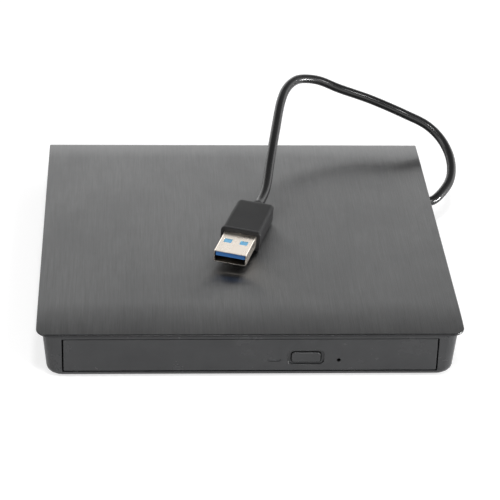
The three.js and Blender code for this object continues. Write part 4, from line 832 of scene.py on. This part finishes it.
def make_shell():
    """The plug's folded metal shell with two windows in each wall and a dashed seam, its inner faces painted dark as
    shade.
    """
    end = SHELL_SHOW + SHELL_HIDDEN
    wide, high = SHELL_HALF_WIDE, SHELL_HALF_HIGH
    outer = round_rect(-wide, wide, -high, high, 0.45)
    wide, high = wide - SHELL_WALL, high - SHELL_WALL
    cutters = [prism("y", round_rect(-wide, wide, -high, high, 0.32), -1, end - 2 * SHELL_WALL)]
    for x in (-WINDOW_X, WINDOW_X):
        cutters += in_both_walls(x - WINDOW_HALF, x + WINDOW_HALF, WINDOW_FRONT, WINDOW_BACK, 1.8)
    for y in SEAM_STARTS:
        cutters += in_both_walls(-SEAM_HALF, SEAM_HALF, y, y + SEAM_DASH, 2.15)
    shell = carved(soft_bar("y", outer, 0, end, 0.12, back=False, steps=2), *cutters)
    for face in eased(shell, 0.05, shortest=0.2).faces:
        middle = face.calc_center_median()
        # Inner faces get the dark finish: painted shade inside the shell, not a different metal
        within = abs(middle.x) < SHELL_HALF_WIDE - 0.25 and abs(middle.z) < SHELL_HALF_HIGH - 0.25
        face.material_index = 1 if within and abs(face.normal.y) < 0.5 else 0
    return piece("plug_shell_folded", in_plug_frame(shell), (PLATED, SHELL_INSIDE_PAINTED_SHADE), "case", ["plug_shell"])


def make_tongue():
    """The blue tongue, its top painted a paler blue as if lit from above, with the block that carries it."""
    end = SHELL_SHOW + SHELL_HIDDEN - TONGUE_SHORT
    tongue = joined(soft_bar("y", round_rect(-5.5, 5.5, -0.07, 1.88, 0.2), 0.55, end, 0.15, back=False),
                    prism("y", round_rect(-5.38, 5.38, -1.63, 1.83, 0.2), SHELL_SHOW - TONGUE_BLOCK, end))
    tongue.normal_update()
    for face in tongue.faces:
        # Faces that look up get the paler blue: painted light on the same plastic
        face.material_index = 1 if face.normal.z > 0.7 else 0
    return piece("plug_tongue_moulded", in_plug_frame(tongue), (BLUE_PLASTIC, BLUE_TOP_PAINTED_LIGHT), "case", ["plug_tongue"])


def make_contacts():
    """Two rows of contacts below the tongue: four wide ones in front and five narrow ones behind."""
    front = soft_bar("y", round_rect(-0.5, 0.5, -0.17, 0.03, 0.08, 3), 1.6, 9.6, 0.06, steps=2)
    rear = soft_bar("y", round_rect(-0.35, 0.35, -0.3, 0.03, 0.1, 3), 8.4, 10.9, 0.06, steps=2)
    strips = joined(grown(ROW, front, CONTACT_GOLD, Count=4, Start=(-3.5, 0, 0), Step=(7 / 3, 0, 0)),
                    grown(ROW, rear, CONTACT_GOLD, Count=5, Start=(-4, 0, 0), Step=(2, 0, 0)))
    return piece("plug_contacts", in_plug_frame(strips), CONTACT_GOLD, "case", ())


def make_grip():
    """The moulded grip: a low lip round the shell, straight sides, an eased shoulder and the neck."""
    shares = [(0, 0.965, 0.95), (0.006, 0.985, 0.985), (0.016, 1, 1), (0.048, 1, 1), (0.056, 0.99, 0.985),
              (0.064, 0.957, 0.951), (0.075, 0.954, 0.949), (0.3, 0.952, 0.947), (0.6, 0.948, 0.942),
              (0.9, 0.94, 0.932), (0.945, 0.93, 0.922), (0.972, 0.912, 0.895), (0.988, 0.88, 0.86),
              (0.997, 0.84, 0.81), (1, 0.8, 0.76)]
    rings = []
    for share, wide, high in shares:
        a, b = GRIP_HALF_WIDE * wide, GRIP_HALF_HIGH * high
        y = SHELL_SHOW + GRIP_LENGTH * share
        rings.append([(x, y, z) for x, z in round_rect(-a, a, -b, b, 1.35, 8)])
    pocket = prism("y", round_rect(-6.05, 6.05, -2.3, 2.3, 0.46), SHELL_SHOW - 1, SHELL_SHOW + 4.3)
    body = carved(loft(rings), pocket)
    start = SHELL_SHOW + GRIP_LENGTH
    length = PLUG_COLLAR_END - start
    neck = [(2.95, start - 0.6), (2.95, start + 0.9), (2.8, start + 1.15), (2.5, start + 1.25), (2.4, start + 1.4)]
    neck += [(2.4 - 0.1 * i / 8, start + 1.4 + (length - 1.8) * i / 8) for i in range(1, 9)]
    neck += [(2.2, PLUG_COLLAR_END - 0.15), (1.95, PLUG_COLLAR_END)]
    collar = lathe([(0, start - 0.6)] + neck + [(0, PLUG_COLLAR_END)], steps=32)
    collar = moved(collar, Matrix(((1, 0, 0, 0), (0, 0, 1, 0), (0, 1, 0, 0), (0, 0, 0, 1))))
    bmesh.ops.recalc_face_normals(collar, faces=collar.faces)
    grip = joined(body, collar)
    return piece("plug_grip", in_plug_frame(grip), RUBBER, "case", ["plug_overmold"], sharp=45)


def make_gland():
    """The grommet in the side wall: a stepped flange with a short soft nose round the lead."""
    profile = [(0, 68.95), (2.6, 68.95), (2.7, 69.1), (2.7, 71.05), (3.1, 71.1), (3.3, 71.25), (3.3, 71.6),
               (3.15, 71.75), (2.5, 71.8), (2.2, 72), (2.0, 72.06), (0, 72.06)]
    turn = Matrix(((0, 0, 1, 0), (1, 0, 0, GLAND_MOUTH[1]), (0, 1, 0, GLAND_MOUTH[2]), (0, 0, 0, 1)))
    return piece("gland", moved(lathe(profile, steps=40), turn), RUBBER, "case", ["cable_gland"])


# Top cover

def lid_half_width(y):
    """Half of the cover's width at a depth: less where its front corners are rounded."""
    near = LID_FRONT + CORNER - y
    if near <= 0:
        return LID_HALF
    return LID_HALF - CORNER + math.sqrt(max(0, CORNER ** 2 - near ** 2))


def lid_profile():
    """The cover's outer and inner side profiles, point for point."""
    rise = LID_TOP - FRONT_DROP
    outer = [(LID_FRONT, LID_LOW + 0.12), (LID_FRONT, LID_LOW + 0.25)]
    outer += bow((LID_FRONT, rise - EDGE_ROUND), (LID_FRONT, rise), (LID_FRONT + EDGE_ROUND, rise), 6)
    front = bow((LID_FRONT + EDGE_ROUND, rise), (LID_FRONT + FRONT_RUN / 2, LID_TOP),
                (LID_FRONT + FRONT_RUN, LID_TOP), 48)
    outer += front[1:]
    crown = LID_BACK - SPINE_ROUND - CROWN_RUN
    outer += line((LID_FRONT + FRONT_RUN, LID_TOP), (crown, LID_TOP), 24)[1:]
    outer += bow((crown, LID_TOP), (crown + CROWN_RUN / 2, LID_TOP),
                 (LID_BACK - SPINE_ROUND, LID_TOP - CROWN_DROP), 12)[1:]
    centre = (LID_BACK - SPINE_ROUND, LID_TOP - CROWN_DROP - SPINE_ROUND)
    outer += arc(*centre, SPINE_ROUND, 90, 0, 16)[1:]
    outer += line((LID_BACK, centre[1]), (LID_BACK, SPINE_LOW + 0.2), 6)[1:]
    outer.append((LID_BACK - 0.2, SPINE_LOW))
    inner = []
    inner_round = SPINE_ROUND - SPINE_WALL
    inner_centre = (LID_BACK - SPINE_ROUND, LID_LOW - inner_round)
    for i, (y, z) in enumerate(outer):
        if y <= LID_BACK - SPINE_ROUND + 1e-6:
            inner.append((max(y, LID_FRONT + 0.03 * i), LID_LOW))
        elif z > inner_centre[1] and y > inner_centre[0]:
            angle = max(0, min(math.pi / 2, math.atan2(z - centre[1], y - centre[0])))
            inner.append((inner_centre[0] + inner_round * math.cos(angle),
                          inner_centre[1] + inner_round * math.sin(angle)))
        else:
            inner.append((LID_BACK - SPINE_WALL, max(z, SPINE_LOW)))
    inner[-1] = (LID_BACK - SPINE_WALL, SPINE_LOW)
    return outer, inner


def lid_rows(bm, loop):
    """The cover's sections from its left side to its right, and each one's place across."""
    stations = round_over(SIDE_ROUND, 5) + [(SIDE_ROUND + extra, 0) for extra in (0.25, 1.5, 5, 12, 24, 40, 56)]
    rows, places = [], []
    for side, (inward, inset) in ([(-1, s) for s in stations] + [(0, (LID_HALF, 0))]
                                  + [(1, s) for s in stations[::-1]]):
        section = loop if inset == 0 else inset_outline(loop[::-1], inset)[::-1]
        rows.append([bm.verts.new((side * lid_half_width(y) * (1 - inward / LID_HALF), y, z)) for y, z in section])
        places.append(side * (LID_HALF - inward))
    return rows, places


def make_lid():
    """The cover's skin, swept across its width with rounded side edges. Only its top is brushed."""
    outer, inner = lid_profile()
    loop = outer + inner[::-1]
    count, size = len(outer), len(loop)
    lengths = [0.0]
    for a, b in zip(loop, loop[1:] + loop[:1]):
        lengths.append(lengths[-1] + math.dist(a, b))
    bm = bmesh.new()
    uv = bm.loops.layers.uv.new("brushing")
    rows, places = lid_rows(bm, loop)
    for r, (left, right) in enumerate(zip(rows, rows[1:])):
        for i in range(size):
            j = (i + 1) % size
            face = bm.faces.new((left[i], left[j], right[j], right[i]))
            on_top = i < count - 1 and loop[i][0] > LID_FRONT + EDGE_ROUND + 0.1
            face.material_index = 0 if on_top and 3 <= r < len(rows) - 4 else 1
            for corner, (a, b) in zip(face.loops, ((r, i), (r, i + 1), (r + 1, i + 1), (r + 1, i))):
                corner[uv].uv = (places[a] / UV_WIDE + 0.5, lengths[b] / UV_DEEP)
    for row, order in ((rows[0], -1), (rows[-1], 1)):
        for i in range(count - 1):
            quad = (row[i], row[i + 1], row[size - 2 - i], row[size - 1 - i])
            face = bm.faces.new(quad[::order])
            face.material_index = 1
            for corner in face.loops:
                corner[uv].uv = (corner.vert.co.y / UV_WIDE + 0.5, corner.vert.co.z / UV_DEEP)
    bmesh.ops.recalc_face_normals(bm, faces=bm.faces)
    piece("cover", bm, (BRUSHED_LID, GLOSS_BLACK), "case", ["top_cover"])


def make_lid_frame():
    """Below the cover's skin: the skirt that locates it, its cross ribs and the two screw bosses."""
    half = BASE_HALF - BASE_WALL - FIT
    front, back = FACE_Y + FRONT_WALL + FIT, BASE_BACK - BACK_WALL - FIT
    skirt = carved(prism("z", round_rect(-half, half, front, back, 1.7), LID_LOW - SKIRT_DEEP, LID_LOW + 0.1),
                   block(SKIRT_WALL - half, half - SKIRT_WALL, front + SKIRT_WALL, back - SKIRT_WALL, LID_LOW - 3,
                         LID_LOW + 1))
    rib = soft_bar("x", [(-0.5, LID_LOW - 0.9), (0.5, LID_LOW - 0.9), (0.5, LID_LOW + 0.1), (-0.5, LID_LOW + 0.1)],
                   0.5 - half, half - 0.5, 0.1)
    ribs = grown(ROW, rib, GLOSS_BLACK, Count=RIBS, Start=(0, -1.5 * RIB_PITCH, 0),
                 Step=(0, RIB_PITCH, 0))
    post = [(0, BOSS_LOW), (BOSS_RADIUS - 0.2, BOSS_LOW), (BOSS_RADIUS, BOSS_LOW + 0.2), (BOSS_RADIUS, LID_LOW + 0.1),
            (0, LID_LOW + 0.1)]
    bore = [(0, BOSS_LOW - 1), (BORE_RADIUS, BOSS_LOW - 1), (BORE_RADIUS, BORE_TOP), (0, BORE_TOP)]
    bosses = [carved(lathe(post, (x, FOOT_BACK_Y), 32), lathe(bore, (x, FOOT_BACK_Y), 24)) for x in (-FOOT_X, FOOT_X)]
    piece("cover_frame", joined(skirt, ribs, *bosses), GLOSS_BLACK, "case", ())


# Case and drawer front

def make_case():
    """The tub of the case, with the edges of its openings eased."""
    bm = eased(from_node("base_shell"), 0.18, angle=42, shortest=1.2)
    piece("case_tub", bm, SATIN_BLACK, "case", ["base_shell"])


def cross(x, y, arm, slit, low, high):
    """Two crossed blocks that cut a screw's recess."""
    return [block(x - a, x + a, y - b, y + b, low, high) for a, b in ((arm, slit), (slit, arm))]


def make_feet():
    """Soft feet with a dished sole, and the two case screws with their cross recesses."""
    sole = [(0, 0.25), (2.9, 0.25), (3.2, 0.12), (3.5, 0), (3.9, 0), (4.2, 0.1), (4.4, 0.3), (4.5, 0.5), (4.5, 1.4),
            (0, 1.4)]
    for name, x, y in (("foot_front_left", -FOOT_X, FOOT_FRONT_Y), ("foot_front_right", FOOT_X, FOOT_FRONT_Y),
                       ("foot_rear_left", -FOOT_X, FOOT_BACK_Y), ("foot_rear_right", FOOT_X, FOOT_BACK_Y)):
        piece(name + "_sole", lathe(sole, (x, y)), RUBBER, "case", [name])
    for name, x in (("case_screw_left", -FOOT_X), ("case_screw_right", FOOT_X)):
        bm = carved(eased(from_node(name), 0.12, shortest=0.1), *cross(x, FOOT_BACK_Y, 1.3, 0.25, 0.5, 2.4))
        piece(name + "_turned", bm, STEEL, "case", [name])


def outline_round(box, extra, radius, steps=6):
    """The rounded outline of a box in X and Z, moved outwards by a distance."""
    x0, x1, z0, z1 = box
    return round_rect(x0 - extra, x1 + extra, z0 - extra, z1 + extra, radius, steps)


def make_drawer_front():
    """The drawer's front panel with its button recess, light slot and release hole."""
    outline = round_rect(-BEZEL_HALF, BEZEL_HALF, BEZEL_LOW, BEZEL_HIGH, 0.5, 4)
    panel = soft_bar("y", outline, FACE_Y, BEZEL_BACK, 0.38, back=False, steps=5)
    pocket = prism("y", round_rect(BEZEL_WALL - BEZEL_HALF, BEZEL_HALF - BEZEL_WALL, BEZEL_LOW + BEZEL_WALL,
                                   BEZEL_HIGH - BEZEL_WALL, 0.5), FACE_Y + BEZEL_WALL, BEZEL_BACK + 1)
    recess = loft([[(x, y, z) for x, z in outline_round(SURROUND, out, 1.6 + out, 10)]
                   for y, out in ((FACE_Y - 0.5, 0.32), (FACE_Y, 0.12), (FACE_Y + 0.12, 0.03), (FACE_Y + 0.3, 0),
                                  (FACE_Y + 0.6, 0))])
    opening = prism("y", outline_round(BUTTON, 0.3, 1.4, 10), FACE_Y - 1, BEZEL_BACK)
    slot = prism("y", outline_round(LIGHT, 0.1, 0.45), FACE_Y - 1, BEZEL_BACK)
    hole = prism("y", arc(*PINHOLE, PINHOLE_RADIUS, 0, 337.5, 15), FACE_Y - 1, BEZEL_BACK)
    bm = carved(panel, pocket, recess, opening, slot, hole)

    def at_face(middle):
        return middle.y < FACE_Y + 0.7 and -2 < middle.x < 34 and 4.6 < middle.z < 11.6
    eased(bm, 0.1, angle=50, shortest=0.03, where=at_face)
    piece("drawer_front", bm, SATIN_BLACK, "drawer", ["tray_bezel"])

    cap = soft_bar("y", outline_round(BUTTON, 0, 1.1, 10), FACE_Y, FACE_Y + 2.4, 0.35, back=False, steps=5)
    stem = block(17, 21, FACE_Y + 2.2, -67.4, 6.9, 8.7)
    piece("button_cap", joined(cap, stem), SATIN_BLACK, "button", ["eject_button"])
    pipe = soft_bar("y", outline_round(LIGHT, 0, 0.35), FACE_Y + 0.15, FACE_Y + 5.35, 0.12, back=False)
    piece("light_window", pipe, LIGHT_PIPE, "drawer", ["light_pipe"])


# Remaining CAD nodes: the same shapes with their own finishes, and edges eased by the widths given

DRESSED = (
    (SHEET_METAL, "sheet_metal", {"drive_pan": 0.15, "drive_cover": 0.1, "traverse_frame": 0.12, "pickup_sled": 0.2}),
    (SHEET_METAL, "winding", {"spindle_stator": 0.1}),
    (CHIP_BLACK, "chip_black", {"rear_connector": 0.1, "main_chip": 0.12, "turntable": 0.12, "lens_holder": 0.1,
                                "bridge_chip": 0.12, "bridge_socket": 0.1}),
    (WHITE_PLASTIC, "white_plastic", {"guide_left": 0.12, "guide_right": 0.12, "clamp_jaw_1": 0.12,
                                      "clamp_jaw_2": 0.12, "clamp_jaw_3": 0.12, "feed_nut": 0.12,
                                      "latch_lever": 0.12, "eject_pusher": 0.12}),
    (STEEL, "steel", {"latch_post": 0.08, "rail_left": 0.12, "rail_right": 0.12, "eject_switch": 0.1,
                      "guide_rod_left": 0.1, "guide_rod_right": 0.1, "spindle_rotor": 0.1, "feed_motor": 0.15,
                      "crystal_can": 0.2, "solenoid_plunger": 0.08}),
    (BOARD, "circuit_board", {"front_board": 0.08, "main_board": 0.08, "bridge_board": 0.08}),
    (SATIN_BLACK, "satin_black", {"tray": 0.2}),
    (RUBBER, "rubber", {"damper_1": 0.15, "damper_2": 0.15, "damper_3": 0.15}),
    (WINDING, "winding", {"latch_solenoid": 0.15}),
    (LENS_GLASS, "clear_plastic", {"objective_lens": 0}),
    (RIBBON_FILM, "white_plastic", {"ribbon_cable": 0}),
    (LEAD_BLACK, "lead_black", {"inner_lead": 0}),
)


def body_of(name):
    """The body that a CAD node belongs to."""
    bodies = frame["record"]["behaviour"]["bodies"]
    return next(body for body, nodes in bodies.items() if name in nodes)


def dress_remaining():
    """Gives every other CAD node eased edges and its finish."""
    for material, slot, widths in DRESSED:
        for name, width in widths.items():
            bm = from_node(name)
            if width:
                eased(bm, width, angle=40, shortest=0.3)
            piece(name + "_eased", bm, material, body_of(name), [name])


# Mechanism: its thread and windings, the pickup's small parts, and what the boards carry

def in_mechanism(bm):
    """Turns a shape from the mechanism's frame, U along the sled's travel, to its place."""
    return moved(bm, Matrix.Translation((0, SPINDLE_Y, 0)) @ Matrix.Rotation(TRAVEL_ANGLE, 4, "Z"))


def washer(inner, outer, low, high, edge=0.06, steps=72):
    """A flat ring round the Z axis with eased upper edges."""
    section = [(inner, low), (outer, low), (outer, high - edge), (outer - edge, high), (inner + edge, high),
               (inner, high - edge)]
    return loft([[(r * c, r * s, z) for r, z in section] for c, s in circle(steps)], closed=True)


def hoop(points, z, radius):
    """A round wire that follows a flat closed outline."""
    rings = []
    for i, p in enumerate(points):
        ahead = (Vector(points[(i + 1) % len(points)]) - Vector(points[i - 1])).normalized()
        out = Vector((ahead.y, -ahead.x))
        rings.append([(p[0] + out.x * radius * c, p[1] + out.y * radius * c, z + radius * s)
                      for c, s in circle(6)])
    return loft(rings, closed=True)


def cross_screw(x, y, low, radius, height):
    """A small pan head with a cross recess."""
    head = lathe([(0, low), (radius, low), (radius, low + height * 0.55), (radius * 0.8, low + height * 0.9),
                  (radius * 0.5, low + height), (0, low + height)], (x, y), 24)
    return carved(head, *cross(x, y, radius * 0.55, radius * 0.12, low + height * 0.45, low + height * 2))


def make_lead_screw():
    """The sled's lead screw: plain journals and a two-start thread of 3 mm a turn."""
    shaft = lathe([(0, SCREW_BACK), (JOURNAL_RADIUS - 0.02, SCREW_BACK), (JOURNAL_RADIUS, SCREW_BACK + 0.1),
                   (JOURNAL_RADIUS, 0), (THREAD_RADIUS, 0.05), (THREAD_RADIUS, THREAD_LENGTH - 0.05),
                   (JOURNAL_RADIUS, THREAD_LENGTH), (JOURNAL_RADIUS, SCREW_FRONT - 0.1),
                   (JOURNAL_RADIUS - 0.04, SCREW_FRONT), (0, SCREW_FRONT)], steps=24)
    sizes = {"Radius": THREAD_RADIUS, "Length": THREAD_LENGTH, "Turns": THREAD_LENGTH / THREAD_LEAD, "Wire": 0.14}
    thread = grown(HELIX, shaft, STEEL, **sizes)
    second = moved(grown(HELIX, bmesh.new(), STEEL, **sizes), Matrix.Rotation(math.pi, 4, "Z"))
    along = Matrix.Translation(SCREW_PLACE) @ Matrix.Rotation(math.pi / 2, 4, "Y")
    piece("lead_screw_threaded", in_mechanism(moved(joined(thread, second), along)), STEEL, body_of("lead_screw"),
          ["lead_screw"])


def make_windings():
    """A coil round each of the stator's poles."""
    coil = moved(grown(HELIX, bmesh.new(), WINDING, Radius=0.92, Length=2.2, Turns=7, Wire=0.15),
                 Matrix.Rotation(math.pi / 2, 4, "Y"))
    bmesh.ops.scale(coil, vec=(1, 1, 1.05), verts=coil.verts)
    ring = grown(RING, coil, WINDING, Count=POLES, Radius=POLE_MIDDLE, Height=POLE_Z)
    ring = moved(ring, Matrix.Rotation(POLE_TURN, 4, "Z"))
    piece("stator_coils", in_mechanism(ring), WINDING, body_of("spindle_stator"), ())


def make_turntable_parts():
    """The rubber ring that a disc rests on, and the spindle's tip in the hub."""
    body = body_of("turntable")
    piece("turntable_pad", in_mechanism(washer(*PAD_RING)), RUBBER, body, ())
    tip = lathe([(0, 12.7), (1.0, 12.7), (1.0, 13.12), (0.88, 13.24), (0.3, 13.28), (0, 13.28)], steps=28)
    piece("spindle_tip", in_mechanism(joined(tip, washer(*HUB_RING))), STEEL, body, ())


def make_sled_parts():
    """On the sled: its sheet cover round the lens, the focus magnets and three screws; on the holder, its coil."""
    body = body_of("pickup_sled")
    cover = carved(prism("z", round_rect(*SLED_COVER, 0.8, 4), SLED_TOP, SLED_TOP + 0.17),
                   prism("z", round_rect(*SLED_WINDOW, 0.7, 4), 9, 10),
                   lathe([(0, 9), (TURNTABLE_CLEAR, 9), (TURNTABLE_CLEAR, 10), (0, 10)], steps=96),
                   prism("z", round_rect(*SLED_NOTCH, 0.3, 3), 9, 10))
    piece("sled_cover", in_mechanism(eased(cover, 0.03, shortest=0.3)), STEEL, body, ())
    magnets = joined(*[soft_bar("x", round_rect(v - 0.45, v + 0.45, 7.0, 8.95, 0.1, 3), MAGNET_FRONT, MAGNET_BACK,
                                0.1) for v in (-MAGNET_V, MAGNET_V)])
    piece("focus_magnets", in_mechanism(magnets), SHEET_METAL, body, ())
    heads = joined(*[cross_screw(u, v, 9.5, 0.95, 0.3) for u, v in ((16.9, -7.4), (16.9, 7.4), (28.9, 7.6))])
    piece("sled_screws", in_mechanism(heads), STEEL, body, ())
    loop = hoop(round_rect(*FOCUS_LOOP, 0.5, 4), 7.85, 0.11)
    coil = grown(ROW, loop, WINDING, Count=6, Start=(0, 0, 0), Step=(0, 0, 0.21))
    piece("focus_coil", in_mechanism(coil), WINDING, body_of("lens_holder"), ())


def chip_legs(x, y, half, top, drop, count):
    """Gull-wing legs along the four sides of a square chip."""
    pitch = 2 * (half - 0.8) / (count - 1)
    bend = [(-half - 0.75, top - drop), (-half - 0.45, top - drop), (-half - 0.3, top - 0.14), (-half, top - 0.14),
            (-half, top), (-half - 0.4, top), (-half - 0.55, top - drop + 0.14), (-half - 0.75, top - drop + 0.14)]
    leg = prism("x", bend, -0.16, 0.16)
    row = grown(ROW, leg, STEEL, Count=count, Start=(0.8 - half, 0, 0), Step=(pitch, 0, 0))
    sides = [row] + [moved(row.copy(), Matrix.Rotation(math.pi / 2 * k, 4, "Z")) for k in (1, 2, 3)]
    return moved(joined(*sides), Matrix.Translation((x, y, 0)))


def make_board_parts():
    """Chip legs and scattered small parts on the drawer's main board and on the bridge board."""
    for chip, *sizes in (("main_chip", MAIN_BOARD_X, -7, 7, MAIN_BOARD_TOP + 0.7, 0.68, 16),
                         ("bridge_chip", 4, BRIDGE_Y, 3.6, BRIDGE_TOP + 0.55, 0.53, 9)):
        piece(chip + "_legs", chip_legs(*sizes), STEEL, body_of(chip), ())
    part = eased(block(-0.5, 0.5, -0.3, 0.3, 0, 0.34), 0.04, shortest=0.1)
    ends = joined(*[block(x - 0.1, x + 0.1, -0.32, 0.32, -0.02, 0.37) for x in (-0.52, 0.52)])
    for name, board, place, columns, rows, width, depth, seed in (
            ("main_board_back", "main_board", (MAIN_BOARD_X, 20.5, MAIN_BOARD_TOP), 9, 15, 20, 36, 5),
            ("main_board_front", "main_board", (MAIN_BOARD_X, -37, MAIN_BOARD_TOP), 9, 14, 20, 34, 11),
            ("bridge_board_left", "bridge_board", (-27, BRIDGE_Y, BRIDGE_TOP), 18, 4, 42, 7.4, 8),
            ("bridge_board_right", "bridge_board", (40, BRIDGE_Y, BRIDGE_TOP), 10, 4, 22, 7.4, 21)):
        put = Matrix.Translation(place)
        sizes = {"Columns": columns, "Rows": rows, "Width": width, "Depth": depth, "Share": 0.55, "Seed": seed}
        for shape, kind, finish, slot in ((part, "_parts", CHIP_BLACK, "chip_black"),
                                          (ends, "_ends", STEEL, "steel")):
            piece(name + kind, moved(grown(FIELD, shape.copy(), finish, **sizes), put), finish, body_of(board), ())
    part.free()
    ends.free()


# Floor and light

def split_view(tree, lit, seen, output):
    """Ends a tree in which the camera sees one shader and all other rays meet another."""
    camera_ray = tree.nodes.new("ShaderNodeLightPath").outputs["Is Camera Ray"]
    chosen = node(tree, "ShaderNodeMixShader", camera_ray, lit.outputs[0], seen.outputs[0])
    node(tree, output, chosen.outputs[0])


def make_floor():
    """A plain white floor that keeps the object's shadow."""
    size = 4
    mesh = bpy.data.meshes.new("floor")
    mesh.from_pydata([(-size, -size, 0), (size, -size, 0), (size, size, 0), (-size, size, 0)], [], [(0, 1, 2, 3)])
    material = bpy.data.materials.new("floor white")
    material.use_nodes = True
    tree = material.node_tree
    tree.nodes.clear()
    lit, seen_paint = (node(tree, "ShaderNodeBsdfDiffuse", Color=(level, level, level, 1)) for level in (0.9, 0.5))
    glow = node(tree, "ShaderNodeEmission", Color=(1, 1, 1, 1), Strength=FLOOR_GLOW)
    seen = node(tree, "ShaderNodeAddShader", seen_paint.outputs[0], glow.outputs[0])
    split_view(tree, lit, seen, "ShaderNodeOutputMaterial")
    mesh.materials.append(material)
    in_scene("floor", mesh)


def make_world():
    """A pale room that is brighter near the horizon than overhead."""
    bpy.context.scene.view_settings.view_transform = "Standard"
    world = bpy.data.worlds.new("room")
    bpy.context.scene.world = world
    world.use_nodes = True
    tree = world.node_tree
    tree.nodes.clear()
    place = tree.nodes.new("ShaderNodeTexCoord").outputs["Generated"]
    axes = node(tree, "ShaderNodeSeparateXYZ", place)
    ramp = node(tree, "ShaderNodeValToRGB", axes.outputs["Z"])
    stops = ramp.color_ramp.elements
    for position, level in ROOM_LEVELS[1:-1]:
        stops.new(position)
    for stop, (position, level) in zip(stops, ROOM_LEVELS):
        stop.position = position
        stop.color = (level, level, level, 1)
    room = node(tree, "ShaderNodeBackground", Color=ramp.outputs[0], Strength=ROOM_POWER)
    plain = node(tree, "ShaderNodeBackground", Color=(1, 1, 1, 1), Strength=1.0)
    split_view(tree, room, plain, "ShaderNodeOutputWorld")


def make_lamps():
    """Flat soft lamps, each of which faces a point."""
    for name, (place, target, (width, height), power) in LAMPS.items():
        data = bpy.data.lights.new(name, "AREA")
        data.shape = "RECTANGLE"
        data.size = width
        data.size_y = height
        data.energy = power
        aim = (Vector(target) - Vector(place)).to_track_quat("-Z", "Y")
        in_scene(name, data).matrix_world = Matrix.Translation(place) @ aim.to_matrix().to_4x4()


make_camera()
lead, lead_path = make_lead()
plug_pieces = make_shell(), make_tongue(), make_contacts(), make_grip()
make_gland()
make_lid()
make_lid_frame()
make_case()
make_feet()
make_drawer_front()
dress_remaining()
make_lead_screw()
make_windings()
make_turntable_parts()
make_sled_parts()
make_board_parts()
make_floor()
make_world()
make_lamps()
